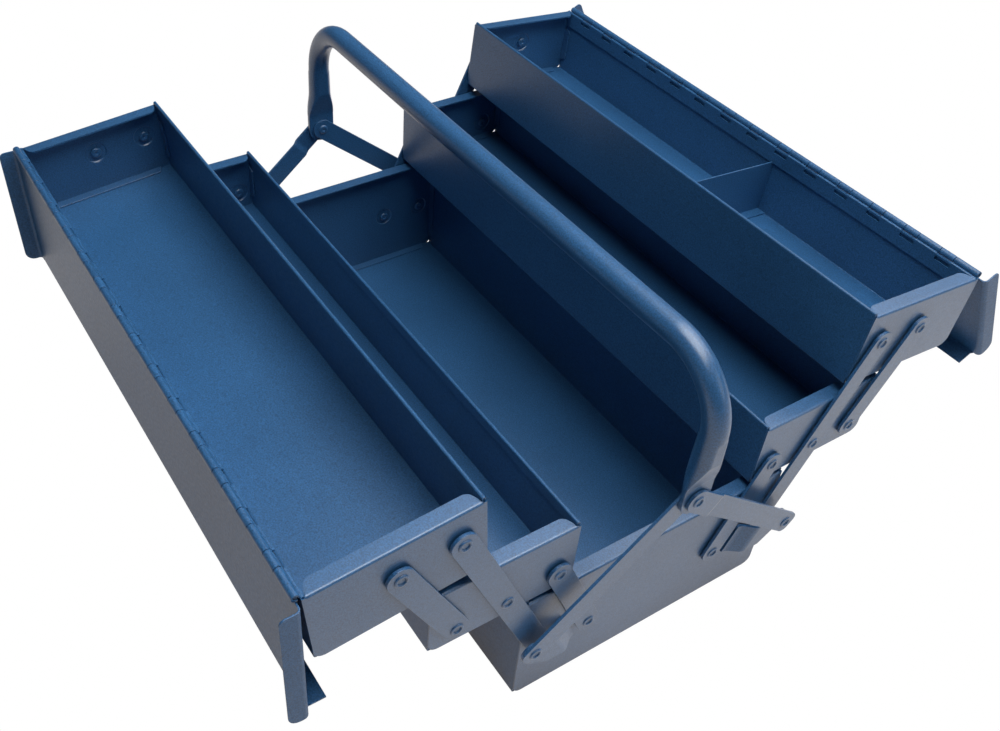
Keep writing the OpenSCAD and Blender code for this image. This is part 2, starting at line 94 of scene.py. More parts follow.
class SheetSizes(PropertyGroup):
    """Sizes of the folded trays and their end plates"""

    gauge: FloatProperty(
        name="Gauge", description="Sheet thickness of pans and lids",
        default=1.0 * MM, min=0.0005, unit="LENGTH")
    end_gauge: FloatProperty(
        name="End gauge", description="Sheet thickness of the end plates",
        default=1.2 * MM, min=0.0005, unit="LENGTH")
    top_width: FloatProperty(
        name="Top tray width", description="Width of a top tray over its walls",
        default=100.5 * MM, min=0.05, unit="LENGTH")
    top_height: FloatProperty(
        name="Top tray height", description="Height of a top tray up to its end flanges",
        default=53.0 * MM, min=0.02, unit="LENGTH")
    pivot_inset: FloatProperty(
        name="Top pivot inset", description="Distance of the long lever's pivot from the inner wall",
        default=15.0 * MM, min=0.005, unit="LENGTH")
    pivot_height: FloatProperty(
        name="Top pivot height", description="Height of that pivot above the tray's underside",
        default=31.0 * MM, min=0.005, unit="LENGTH")
    tilt: FloatProperty(
        name="Tilt", description="Outward lean of the open top trays",
        default=math.radians(5.0), unit="ROTATION")
    hem_width: FloatProperty(
        name="Hem width", description="Thickness of the rolled rims",
        default=2.3 * MM, min=0.001, unit="LENGTH")
    hem_depth: FloatProperty(
        name="Hem depth", description="How far the rolled rims reach down inside",
        default=7.0 * MM, min=0.002, unit="LENGTH")
    hem_rise: FloatProperty(
        name="Hem rise", description="Height of the rims above the end flanges",
        default=2.3 * MM, min=0.0, unit="LENGTH")
    fold: FloatProperty(
        name="Fold radius", description="Outer radius of the folds",
        default=1.5 * MM, min=0.0005, unit="LENGTH")
    corner: FloatProperty(
        name="Corner radius", description="Radius of the lower corners of the end plates",
        default=6.5 * MM, min=0.001, unit="LENGTH")
    flange: FloatProperty(
        name="End flange", description="Depth of the flange on top of each end plate",
        default=10.0 * MM, min=0.002, unit="LENGTH")
    weld_flange: FloatProperty(
        name="Weld flange", description="Depth of the spot-welded flanges",
        default=6.5 * MM, min=0.002, unit="LENGTH")
    strip: FloatProperty(
        name="Hinge strip", description="Depth of the doubled strip under the hinge",
        default=12.0 * MM, min=0.004, unit="LENGTH")
    mitre: FloatProperty(
        name="Mitre", description="How much narrower the flange's free edge is, as a share of its depth",
        default=0.6, min=0.0, max=1.0, subtype="FACTOR")
    dish: FloatProperty(
        name="Pivot dish", description="Radius of the shallow dish pressed round each pivot",
        default=8.0 * MM, min=0.004, unit="LENGTH")
    dish_depth: FloatProperty(
        name="Dish depth", description="Depth of that dish",
        default=0.72 * MM, min=0.0001, unit="LENGTH")
    slip: FloatProperty(
        name="Slip", description="Gap between parts that pass each other",
        default=0.4 * MM, min=0.0001, unit="LENGTH")
    edge: FloatProperty(
        name="Edge break", description="Rounding of the cut edges",
        default=0.25 * MM, min=0.0, unit="LENGTH")
    divider_edge: FloatProperty(
        name="Divider edge", description="Rounding of the divider's edges",
        default=0.3 * MM, min=0.0, unit="LENGTH")


class LidSizes(PropertyGroup):
    """Sizes of the lids and their hinges"""

    setback: FloatProperty(
        name="Setback", description="Distance of the lip from the inner wall of the closed top tray",
        default=6.5 * MM, min=0.001, unit="LENGTH")
    lip: FloatProperty(
        name="Lip", description="Height of the upright lip at the free edge",
        default=12.0 * MM, min=0.002, unit="LENGTH")
    skirt: FloatProperty(
        name="Skirt", description="Depth of the end flanges",
        default=12.0 * MM, min=0.004, unit="LENGTH")
    overhang: FloatProperty(
        name="Overhang", description="How far the skirts stand outside their solids",
        default=2.6 * MM, min=0.0, unit="LENGTH")
    skirt_fold: FloatProperty(
        name="Skirt fold", description="Outer radius of the soft fold between lid and skirt",
        default=3.2 * MM, min=0.001, unit="LENGTH")
    knuckles: IntProperty(
        name="Knuckles", description="Number of lid knuckles in each hinge", default=14, min=2)
    slot: FloatProperty(
        name="Slot length", description="Length of the slots in the folded strip below the knuckles",
        default=11.5 * MM, min=0.002, unit="LENGTH")
    slot_low: FloatProperty(
        name="Slot bottom", description="Depth of the slots' lower edge below the rim",
        default=4.6 * MM, min=0.001, unit="LENGTH")
    slot_high: FloatProperty(
        name="Slot top", description="Depth of the slots' upper edge below the rim",
        default=1.9 * MM, min=0.0005, unit="LENGTH")
    notch: FloatProperty(
        name="Notch depth", description="Depth of the notches for the knuckles below the wire, "
        "as a share of the knuckle radius", default=0.6, min=0.0, max=1.0, subtype="FACTOR")
    knuckle: FloatProperty(
        name="Knuckle length", description="Length of each lid knuckle",
        default=11.0 * MM, min=0.003, unit="LENGTH")
    knuckle_radius: FloatProperty(
        name="Knuckle radius", description="Outer radius of the knuckles",
        default=2.4 * MM, min=0.001, unit="LENGTH")
    hinge_ends: FloatProperty(
        name="Hinge ends", description="Length that the knuckle pattern leaves free, both ends together",
        default=20.0 * MM, min=0.0, unit="LENGTH")
    roll: FloatProperty(
        name="Roll", description="How far each knuckle turns round the wire",
        default=math.radians(318.0), unit="ROTATION")
    knuckle_edge: FloatProperty(
        name="Knuckle edge", description="Rounding of the knuckles' cut edges",
        default=0.15 * MM, min=0.0, unit="LENGTH")
    wire: FloatProperty(
        name="Wire radius", description="Radius of the hinge wires",
        default=1.2 * MM, min=0.0005, unit="LENGTH")
    wire_edge: FloatProperty(
        name="Wire edge", description="Rounding of the wires' ends",
        default=0.18 * MM, min=0.0, unit="LENGTH")


class BarSizes(PropertyGroup):
    """Sizes of levers, arms, lever feet and washers"""

    width: FloatProperty(
        name="Width", description="Width of levers and arms",
        default=16.0 * MM, min=0.004, unit="LENGTH")
    edge: FloatProperty(
        name="Edge", description="Rounding of the sheared edges",
        default=0.25 * MM, min=0.0, unit="LENGTH")
    crease: FloatProperty(
        name="Crease", description="Softness of the creases of a joggled arm",
        default=1.0 * MM, min=0.0, unit="LENGTH")
    blunt: FloatProperty(
        name="Arm corner", description="Corner radius of the arms' outer ends",
        default=5.0 * MM, min=0.0005, unit="LENGTH")
    crank_from: FloatProperty(
        name="Joggle start", description="Distance of the joggle's start from the handle pivot",
        default=25.5 * MM, min=0.01, unit="LENGTH")
    crank_to: FloatProperty(
        name="Joggle end", description="Distance of the joggle's end from the handle pivot",
        default=21.5 * MM, min=0.01, unit="LENGTH")
    gauge: FloatProperty(
        name="Foot gauge", description="Thickness of the sheet of the lever feet",
        default=2.0 * MM, min=0.0005, unit="LENGTH")
    boss: FloatProperty(
        name="Foot end radius", description="Radius of the foot's round end",
        default=7.5 * MM, min=0.003, unit="LENGTH")
    boss_drop: FloatProperty(
        name="Foot end drop", description="How far the foot's round end sits below the arm's pivot",
        default=2.6 * MM, min=0.0, unit="LENGTH")
    foot_back: FloatProperty(
        name="Foot length", description="How far the foot reaches behind the base pivot",
        default=26.0 * MM, min=0.005, unit="LENGTH")
    foot_low: FloatProperty(
        name="Foot depth", description="How far the foot reaches below the base pivot",
        default=6.3 * MM, min=0.002, unit="LENGTH")
    foot_high: FloatProperty(
        name="Foot height", description="How far the foot's free end reaches above the base pivot",
        default=14.0 * MM, min=0.002, unit="LENGTH")
    slope_tab: FloatProperty(
        name="Foot tab", description="Flat stretch between the foot's free end and its slope",
        default=2.5 * MM, min=0.0005, unit="LENGTH")
    slope_end: FloatProperty(
        name="Slope end", description="Distance of the slope's outer end behind the base pivot",
        default=14.0 * MM, min=0.001, unit="LENGTH")
    slope_top: FloatProperty(
        name="Slope top", description="Height of the slope's outer end, as a share of the foot's height",
        default=0.9, min=0.1, max=1.0, subtype="FACTOR")
    crease_radius: FloatProperty(
        name="Foot creases", description="Radius of the foot's two creases",
        default=2.25 * MM, min=0.0005, unit="LENGTH")
    waist: FloatProperty(
        name="Foot waist", description="Height of the foot over the base pivot, as a share of the "
        "height of its round end", default=0.8, min=0.1, max=1.0, subtype="FACTOR")
    washer: FloatProperty(
        name="Washer radius", description="Radius of the washers behind the levers",
        default=5.0 * MM, min=0.003, unit="LENGTH")
    washer_edge: FloatProperty(
        name="Washer edge", description="Rounding of the edges of washers and spacers",
        default=0.2 * MM, min=0.0, unit="LENGTH")


class GripSizes(PropertyGroup):
    """Sizes of the handle tube"""

    tube: FloatProperty(
        name="Tube", description="Outer diameter of the handle tube",
        default=16.0 * MM, min=0.005, unit="LENGTH")
    bend: FloatProperty(
        name="Bend", description="Centre radius of the handle bends",
        default=42.0 * MM, min=0.01, unit="LENGTH")
    flat_width: FloatProperty(
        name="Flat width", description="Width of the pressed ends",
        default=22.0 * MM, min=0.01, unit="LENGTH")
    flat_thick: FloatProperty(
        name="Flat thickness", description="Thickness of the pressed ends",
        default=3.0 * MM, min=0.001, unit="LENGTH")
    flat_to: FloatProperty(
        name="Flat up to", description="Height above the pivots up to which the ends are flat",
        default=12.0 * MM, min=0.0, unit="LENGTH")
    round_from: FloatProperty(
        name="Round from", description="Height above the pivots from which the tube is round",
        default=34.0 * MM, min=0.01, unit="LENGTH")
    oval: FloatProperty(
        name="Oval", description="How much wider the bent legs are than the tube",
        default=0.08, min=0.0, subtype="FACTOR")


class RivetSizes(PropertyGroup):
    """Sizes of the rivets"""

    head: FloatProperty(
        name="Head radius", description="Radius of the rivet heads",
        default=4.3 * MM, min=0.002, unit="LENGTH")
    height: FloatProperty(
        name="Head height", description="Height of the rivet heads",
        default=0.75 * MM, min=0.0003, unit="LENGTH")
    tail: FloatProperty(
        name="Tail height", description="Height of the domed tails",
        default=1.4 * MM, min=0.0003, unit="LENGTH")
    shank: FloatProperty(
        name="Shank radius", description="Radius of the rivet shanks",
        default=2.5 * MM, min=0.001, unit="LENGTH")
    reach: FloatProperty(
        name="Reach", description="Grip of the rivet as it is turned, before it is driven",
        default=6.0 * MM, min=0.002, unit="LENGTH")
    pit: FloatProperty(
        name="Pit", description="Depth of the hollow below the head's seat",
        default=0.9 * MM, min=0.0, unit="LENGTH")
    crimp: FloatProperty(
        name="Crimp", description="Unevenness of the crimped hollow",
        default=0.3 * MM, min=0.0, unit="LENGTH")


class PaintLook(PropertyGroup):
    """Colours and grain of the lacquer and the wire, and the lighter edge paint that is a painted
    highlight
    """

    base: FloatVectorProperty(
        name="Paint", description="Blue of the lacquer", subtype="COLOR",
        size=3, min=0.0, max=1.0, default=(0.022, 0.089, 0.208))
    # Painted highlight: the broken edges take this lighter blue so that they show as thin bright lines
    edge: FloatVectorProperty(
        name="Paint on edges", description="Thinner lacquer along edges", subtype="COLOR",
        size=3, min=0.0, max=1.0, default=(0.1, 0.26, 0.46))
    wire: FloatVectorProperty(
        name="Wire", description="Dark steel of the hinge wires", subtype="COLOR",
        size=3, min=0.0, max=1.0, default=(0.03, 0.06, 0.11))
    rough: FloatProperty(
        name="Roughness", description="Roughness of the satin lacquer",
        default=0.36, min=0.0, max=1.0)
    grain: FloatProperty(
        name="Grain", description="Height of the fine powder texture",
        default=0.035 * MM, min=0.0, unit="LENGTH")
    drift: FloatProperty(
        name="Drift", description="How much the tone drifts over a hand's breadth",
        default=0.1, min=0.0, max=1.0, subtype="FACTOR")
    speck: FloatProperty(
        name="Speck", description="How much the tone varies from grain to grain",
        default=0.32, min=0.0, max=1.0, subtype="FACTOR")


class StudioLook(PropertyGroup):
    """Lights and floor of the stage"""

    key: FloatProperty(
        name="Overhead light", description="Power of the large overhead soft light",
        default=17.2, min=0.0, unit="POWER")
    back: FloatProperty(
        name="Back light", description="Power of the large soft light behind the box",
        default=18.0, min=0.0, unit="POWER")
    side: FloatProperty(
        name="Side light", description="Power of the soft side light",
        default=3.0, min=0.0, unit="POWER")
    sky: FloatProperty(
        name="Surround", description="Strength of the even surround light",
        default=0.05, min=0.0)
    floor: FloatVectorProperty(
        name="Floor", description="Pale floor", subtype="COLOR",
        size=3, min=0.0, max=1.0, default=(0.72, 0.72, 0.72))
    mirrored_floor: FloatVectorProperty(
        name="Mirrored floor", description="Floor as the lacquer mirrors it", subtype="COLOR",
        size=3, min=0.0, max=1.0, default=(1.0, 0.9, 0.84))
    clear: FloatProperty(
        name="Clear floor", description="How white the floor stands under its shadow",
        default=1.0, min=0.0, max=1.0, subtype="FACTOR")
    shine: FloatProperty(
        name="Mirrored share", description="How evenly the lacquer mirrors the floor",
        default=0.4, min=0.0, max=1.0, subtype="FACTOR")


# ---------------------------------------------------------------- workshop


def lay_down():
    """Leaves edit mode with nothing selected."""
    if bpy.context.object and bpy.context.object.mode != "OBJECT":
        bpy.ops.object.mode_set(mode="OBJECT")
    bpy.ops.object.select_all(action="DESELECT")


def take(piece):
    """Makes one piece the only selected and active object."""
    lay_down()
    piece.select_set(True)
    bpy.context.view_layer.objects.active = piece


def choose(piece, kind, test):
    """In edit mode, selects the verts, edges or faces whose middle and self pass test."""
    bpy.ops.mesh.select_mode(type=kind)
    bpy.ops.mesh.select_all(action="DESELECT")
    work = bmesh.from_edit_mesh(piece.data)
    group = {"VERT": work.verts, "EDGE": work.edges, "FACE": work.faces}[kind]
    count = 0
    for part in group:
        if kind == "VERT":
            middle = part.co
        else:
            middle = sum((v.co for v in part.verts), Vector()) / len(part.verts)
        if test(middle, part):
            part.select_set(True)
            count += 1
    work.select_flush_mode()
    bmesh.update_edit_mesh(piece.data)
    return count


def choose_all():
    """In edit mode, selects everything."""
    bpy.ops.mesh.select_all(action="SELECT")


def near(a, b, slack=TINY):
    """Whether two lengths are the same."""
    return abs(a - b) < slack


def named(name):
    """The primitive just added, with a name for it and its mesh."""
    piece = bpy.context.object
    piece.name = piece.data.name = name
    return piece


def start_edge(name, first, last):
    """A primitive cut down to one straight edge from first to last, in edit mode."""
    lay_down()
    bpy.ops.mesh.primitive_plane_add(size=2)
    piece = named(name)
    bpy.ops.object.mode_set(mode="EDIT")
    choose(piece, "VERT", lambda m, v: m.y > 0)
    bpy.ops.mesh.delete(type="VERT")
    choose_all()
    work = bmesh.from_edit_mesh(piece.data)
    work.verts.ensure_lookup_table()
    ends = sorted(work.verts, key=lambda v: v.co.x)
    ends[0].co, ends[1].co = Vector(first), Vector(last)
    bmesh.update_edit_mesh(piece.data)
    return piece


def pull(step):
    """Extrudes what is selected by a step."""
    bpy.ops.mesh.extrude_region_move(TRANSFORM_OT_translate={"value": tuple(step)})


def cut_across(piece, axis, place, test=None):
    """Cuts the faces that pass test, or all of them, by a plane across one axis."""
    if test:
        choose(piece, "FACE", test)
    else:
        choose_all()
    across = Vector((axis == "x", axis == "y", axis == "z"))
    bpy.ops.mesh.bisect(plane_co=across * place, plane_no=across)


def round_corners(piece, test, radius, segments):
    """Rounds the chosen corners of a flat sheet."""
    choose(piece, "VERT", test)
    bpy.ops.mesh.bevel(offset=radius, segments=segments, affect="VERTICES")


def round_folds(piece, test, radius, segments=4):
    """Rounds the chosen edges of a folded sheet."""
    if choose(piece, "EDGE", test):
        bpy.ops.mesh.bevel(offset=radius, segments=segments, affect="EDGES", offset_type="OFFSET")


def face_out(piece, way, measure=lambda f: f.calc_area()):
    """Turns the sheet so that its largest face, or the one of the largest measure, looks along way."""
    work = bmesh.from_edit_mesh(piece.data)
    if max(work.faces, key=measure).normal.dot(Vector(way)) < 0:
        choose_all()
        bpy.ops.mesh.flip_normals()


def weld_doubles(gap):
    """In edit mode, merges doubled points and turns every face outwards."""
    choose_all()
    bpy.ops.mesh.remove_doubles(threshold=gap)
    bpy.ops.mesh.normals_make_consistent(inside=False)


def worked(piece, kind, **settings):
    """Adds a modifier to a piece and applies it."""
    take(piece)
    step = piece.modifiers.new("Step", kind)
    for key, value in settings.items():
        setattr(step, key, value)
    bpy.ops.object.modifier_apply(modifier=step.name)


def add_wall(piece, gauge):
    """Gives a folded sheet its thickness inwards."""
    worked(piece, "SOLIDIFY", thickness=gauge, offset=-1, use_even_offset=True,
           use_quality_normals=True)


def two_skins(piece):
    """Room for the finish of the faces and for the lighter edge paint, a painted highlight along the
    edges.
    """
    while len(piece.data.materials) < 2:
        piece.data.materials.append(None)


def smooth(piece, degrees=35):
    """Shades a piece smooth but for its sharp edges."""
    two_skins(piece)
    bpy.ops.object.shade_smooth_by_angle(angle=math.radians(degrees))


def break_edges(piece, edge, segments=2, degrees=40):
    """Rounds every sharp edge a little; the narrow faces take the lighter edge paint, a painted
    highlight.
    """
    two_skins(piece)
    worked(piece, "BEVEL", width=edge, segments=segments, limit_method="ANGLE",
           angle_limit=math.radians(degrees), material=1, use_clamp_overlap=True)
    smooth(piece)


def thicken(piece, gauge, edge, segments=2):
    """Gives a folded sheet its thickness inwards and breaks its cut edges."""
    add_wall(piece, gauge)
    break_edges(piece, edge, segments)


def settle(piece):
    """Puts a piece's place into its mesh."""
    take(piece)
    bpy.ops.object.transform_apply(location=True, rotation=True, scale=True)


def flip(piece, axes):
    """Puts a piece on the other side of the box along the named axes."""
    for axis in axes:
        take(piece)
        piece.scale["xyz".index(axis)] = -1
        settle(piece)
        if volume(piece) < 0:
            piece.data.flip_normals()


def volume(piece):
    """Volume of a closed piece; it is negative where the faces point inwards."""
    work = bmesh.new()
    work.from_mesh(piece.data)
    size = work.calc_volume(signed=True)
    work.free()
    return size


def copied(piece, name, axes=""):
    """A copy with its own mesh, put on the other side along the named axes."""
    lay_down()
    copy = piece.copy()
    copy.data = piece.data.copy()
    copy.name = copy.data.name = name
    bpy.context.collection.objects.link(copy)
    flip(copy, axes)
    take(copy)
    return copy


def rod(name, spot, radius, low, high, edge):
    """A round bar along x through a (y, z) spot, its edges broken."""
    lay_down()
    bpy.ops.mesh.primitive_cylinder_add(
        vertices=40, radius=radius, depth=high - low, location=((low + high) / 2, *spot),
        rotation=(0, math.pi / 2, 0))
    piece = named(name)
    settle(piece)
    break_edges(piece, edge)
    return piece


def joined(name, pieces):
    """Joins pieces into the first one."""
    take(pieces[0])
    for piece in pieces[1:]:
        piece.select_set(True)
    bpy.ops.object.join()
    pieces[0].name = pieces[0].data.name = name
    return pieces[0]


def finished(piece, skin, body, nodes):
    """Paints a piece, hides the solids it stands for and lets it ride on its body. The weighted
    normals keep its large faces flat in the light between their rounded edges."""
    worked(piece, "WEIGHTED_NORMAL", keep_sharp=True)
    piece.data.materials.clear()
    for material in skin:
        piece.data.materials.append(material)
    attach(piece, body)
    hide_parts(*nodes)
    lay_down()
    return piece


def dressed(node, name, edge):
    """A merged copy of a solid with softened edges."""
    source = frame["nodes"][node]
    lay_down()
    piece = source.copy()
    piece.data = source.data.copy()
    piece.parent = None
    piece.name = piece.data.name = name
    piece.matrix_world = source.matrix_world
    bpy.context.collection.objects.link(piece)
    piece.hide_render = piece.hide_viewport = False
    settle(piece)
    bpy.ops.object.mode_set(mode="EDIT")
    choose_all()
    bpy.ops.mesh.remove_doubles(threshold=FINE)
    bpy.ops.mesh.dissolve_limited(angle_limit=math.radians(1.0))
    bpy.ops.object.mode_set(mode="OBJECT")
    piece.data.materials.clear()
    break_edges(piece, edge)
    return piece


# ---------------------------------------------------------------- finishes

# Colour, added roughness, share of the grain's height, gloss and seed of each lacquer; the edge
# lacquer's lighter colour is a painted highlight along the edges
LACQUERS = {
    "tray": ("base", 0.0, 1.0, 0.2, 0.0), "plate": ("base", 0.02, 1.0, 0.8, 3.1),
    "lid": ("base", 0.04, 1.0, 0.0, 6.3), "washer": ("base", 0.0, 0.6, 0.3, 2.6),
    "lever": ("base", 0.0, 0.6, 0.8, 7.7), "tube": ("base", -0.02, 0.5, 0.55, 5.2),
    "rivet": ("base", -0.06, 0.5, 0.6, 9.4), "edge": ("edge", -0.08, 0.4, 0.5, 1.9)}


def node_at(tree, kind, x, y, sockets=None, **settings):
    """Adds a shader node and sets its sockets and settings."""
    made = tree.nodes.new("ShaderNode" + kind)
    made.location = (x, y)
    for key, value in settings.items():
        setattr(made, key, value)
    fill(made, sockets or {})
    return made


def fill(node, sockets):
    """Sets values on a node's sockets."""
    for key, value in sockets.items():
        node.inputs[key].default_value = value


def wire_up(tree, *links):
    """Joins sockets; each link is (node, output, node, input)."""
    for source, output, target, entry in links:
        tree.links.new(source.outputs[output], target.inputs[entry])


def noise(tree, y, scale, detail, roughness):
    """Noise of so many periods in a metre."""
    return node_at(tree, "TexNoise", -650, y, {
        "Scale": scale, "Detail": detail, "Roughness": roughness})


def remapped(tree, x, y, start, end):
    """Turns the values of a span, start, into those of another, end."""
    return node_at(tree, "MapRange", x, y, {
        "From Min": start[0], "From Max": start[1], "To Min": end[0], "To Max": end[1]})


def satin_lacquer(name, colour, rough, grain, gloss, seed):
    """Satin stove lacquer: slow drifts of tone, a fine powder grain and a soft orange peel."""
    look = bpy.context.scene.box_paint
    drift, speck = look.drift, look.speck
    made = bpy.data.materials.new(name)
    made.use_nodes = True
    tree = made.node_tree
    tree.nodes.clear()
    out = node_at(tree, "OutputMaterial", 900, 0)
    skin = node_at(tree, "BsdfPrincipled", 600, 0, {
        "IOR": 1.5, "Specular IOR Level": 0.5, "Coat Weight": gloss, "Coat Roughness": 0.3})
    place = node_at(tree, "TexCoord", -1100, 0)
    shift = node_at(tree, "Mapping", -900, 0, {"Location": (seed, seed * 0.7, seed * 1.3)})
    slow = noise(tree, 300, 11.0, 4.0, 0.55)
    fine = noise(tree, 0, 1150.0, 2.0, 0.6)
    peel = noise(tree, -300, 420.0, 2.0, 0.5)
    tone = remapped(tree, -400, 300, (0.3, 0.7), (1.0 - drift, 1.0 + drift))
    dots = remapped(tree, -400, 60, (0.3, 0.72), (1.0 - speck, 1.0 + speck * 1.6))
    both = node_at(tree, "Math", -200, 200, operation="MULTIPLY")
    blue = node_at(tree, "VectorMath", 100, 200, {0: colour}, operation="SCALE")
    satin = remapped(tree, -200, -60, (0.25, 0.75), (rough - 0.05, rough + 0.07))
    height = node_at(tree, "Math", -200, -300, operation="ADD")
    bump = node_at(tree, "Bump", 100, -300, {"Strength": 0.55, "Distance": grain})
    wire_up(tree, (skin, "BSDF", out, "Surface"), (place, "Object", shift, "Vector"),
            *((shift, "Vector", pattern, "Vector") for pattern in (slow, fine, peel)),
            (slow, "Fac", tone, "Value"), (fine, "Fac", dots, "Value"),
            (tone, "Result", both, 0), (dots, "Result", both, 1),
            (both, "Value", blue, "Scale"), (blue, "Vector", skin, "Base Color"),
            (peel, "Fac", satin, "Value"), (satin, "Result", skin, "Roughness"),
            (fine, "Fac", height, 0), (peel, "Fac", height, 1),
            (height, "Value", bump, "Height"), (bump, "Normal", skin, "Normal"))


def bare_wire(name, colour):
    """Drawn steel wire with fine lines along it."""
    made = bpy.data.materials.new(name)
    made.use_nodes = True
    tree = made.node_tree
    skin = tree.nodes["Principled BSDF"]
    fill(skin, {"Base Color": (*colour, 1.0), "Metallic": 1.0})
    place = node_at(tree, "TexCoord", -900, 0)
    squeeze = node_at(tree, "Mapping", -700, 0, {"Scale": (30.0, 2200.0, 2200.0)})
    lines = node_at(tree, "TexNoise", -500, 0, {"Scale": 1.0})
    span = node_at(tree, "MapRange", -250, 0, {"To Min": 0.28, "To Max": 0.5})
    wire_up(tree, (place, "Object", squeeze, "Vector"), (squeeze, "Vector", lines, "Vector"),
            (lines, "Fac", span, "Value"), (span, "Result", skin, "Roughness"))


def paints():
    """The finishes of the box, made once: each piece takes one for its faces and the lighter edge
    lacquer, a painted highlight, for its edges.
    """
    look, made = bpy.context.scene.box_paint, bpy.data.materials
    names = {key: key.capitalize() + " lacquer" for key in LACQUERS}
    names["wire"] = "Hinge wire"
    if names["wire"] not in made:
        for key, (colour, more_rough, fine, gloss, seed) in LACQUERS.items():
            satin_lacquer(names[key], tuple(getattr(look, colour)), look.rough + more_rough,
                          look.grain * fine, gloss, seed)
        bare_wire(names["wire"], tuple(look.wire))
    return {key: (made[name], made[names["edge"]]) for key, name in names.items()}


# ---------------------------------------------------------------- places


def on_tray(side, tray):
    """The body of a tray, and what the names of its pieces and nodes begin with."""
    return ("base", "base") if tray == "base" else (f"{side}_{tray}_tray", f"{side}_{tray}")


def turned(angle):
    """A turn about the x axis."""
    return Matrix.Rotation(angle, 4, "X")


def tray_place(tray):
    """Placement of a right-hand tray's own frame: x along, y across, z up from its underside."""
    sizes = bpy.context.scene.box_sheet
    if tray == "top":
        return (Matrix.Translation(PIVOTS["right_top_level"]) @ turned(-sizes.tilt)
                @ Matrix.Translation((0, -sizes.pivot_inset, -sizes.pivot_height)))
    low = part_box(on_tray("right", tray)[1] + "_pan")[0]
    return Matrix.Translation((0, low[1], low[2]))


def tray_size(tray):
    """Width over the walls and height up to the end flanges."""
    sizes = bpy.context.scene.box_sheet
    if tray == "top":
        return sizes.top_width, sizes.top_height
    pan = on_tray("right", tray)[1] + "_pan"
    return node_span(pan, 1), node_span(pan, 2) - sizes.hem_rise


def in_tray(tray, points):
    """Points of the box, as (y, z) in a tray's own frame."""
    back = tray_place(tray).inverted()
    return [tuple((back @ Vector((0, *point))).yz) for point in points]


def hinge_axis():
    """Place of the hinge wire in the top tray's own frame, as (y, z)."""
    return in_tray("top", [PIVOTS["right_lid_hinge"].yz])[0]


def knuckle_middles():
    """Middles of the lid knuckles along the box."""
    lids = bpy.context.scene.box_lids
    pitch = (2 * HALF - lids.hinge_ends) / lids.knuckles
    return [(k - (lids.knuckles - 1) / 2) * pitch for k in range(lids.knuckles)]


def pivot_spots():
    """The pivots of the right-hand levers, as (y, z) points by name."""
    spots = {key: Vector(PIVOTS[name].yz) for key, name in (
        ("base", "tray_swing"), ("base_in", "right_lower_swing"), ("mid", "right_mid_level"),
        ("mid_out", "right_upper_swing"), ("top", "right_top_level"), ("arm", "right_arm_turn"),
        ("hub", "handle_tilt"))}
    spots["mid_in"] = spots["base_in"] + spots["mid"] - spots["base"]
    round_end = bpy.context.scene.box_bars.width / 2
    spots["top_out"] = Vector(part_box("right_upper_lever_near")[1][1:]) - Vector((round_end, round_end))
    return spots


def put(piece, placement):
    """Moves a piece from a tray's own frame into the box."""
    take(piece)
    piece.matrix_world = placement @ piece.matrix_world
    settle(piece)


# ---------------------------------------------------------------- folded sheet


def bent(name, path, first, last):
    """Bends a strip along path, (y, z) points of its outer face, running from x first to x last."""
    piece = start_edge(name, (first, *path[0]), (last, *path[0]))
    for here, there in zip(path, path[1:]):
        pull((0, there[0] - here[0], there[1] - here[1]))
    return piece


def along_x(point):
    """Test for the fold edges that run along x through a (y, z) point."""
    return lambda m, e: (near(m.y, point[0]) and near(m.z, point[1])
                         and near(e.verts[0].co.y, e.verts[1].co.y)
                         and near(e.verts[0].co.z, e.verts[1].co.z))


def fold_at(piece, path, corners, radius, segments=4):
    """Rounds a strip's folds at some corners of its path."""
    for corner in corners:
        round_folds(piece, along_x(path[corner]), radius, segments)


def hemmed_pan(name, width, height):
    """A channel of sheet with its long rims rolled over into hems."""
    sizes = bpy.context.scene.box_sheet
    hem, deep, top = sizes.hem_width, sizes.hem_depth, height + sizes.hem_rise
    path = [(hem, top - deep), (hem, top), (0, top), (0, 0),
            (width, 0), (width, top), (width - hem, top), (width - hem, top - deep)]
    piece = bent(name, path, -HALF, HALF)
    fold_at(piece, path, (1, 2, 5, 6), hem / 2 - TINY, segments=5)
    fold_at(piece, path, (3, 4), sizes.fold)
    face_out(piece, (0, 0, -1))
    thicken(piece, sizes.gauge, sizes.edge)
    return piece


def curl(name, first, last, start, lead=()):
    """A tab of sheet rolled over the hinge wire from the angle start, after the points of lead."""
    sizes, lids = bpy.context.scene.box_sheet, bpy.context.scene.box_lids
    axis, steps = hinge_axis(), 14
    angles = [start - lids.roll * k / steps for k in range(steps + 1)]
    path = [*lead, *((axis[0] + lids.knuckle_radius * math.cos(a),
                      axis[1] + lids.knuckle_radius * math.sin(a)) for a in angles)]
    piece = bent(name, path, first, last)
    face_out(piece, (0, 0, 1), lambda f: f.calc_center_median().z)
    thicken(piece, sizes.gauge, lids.knuckle_edge, segments=1)
    return piece


def cut_openings(piece, wall, half):
    """Cuts an opening, half wide to each side, at each lid knuckle into the faces that pass wall."""
    for middle in knuckle_middles():
        for side in (-half, half):
            cut_across(piece, "x", middle + side, wall)
    choose(piece, "FACE", lambda m, f: wall(m, f) and any(abs(m.x - spot) < half
                                                          for spot in knuckle_middles()))
    bpy.ops.mesh.delete(type="FACE")


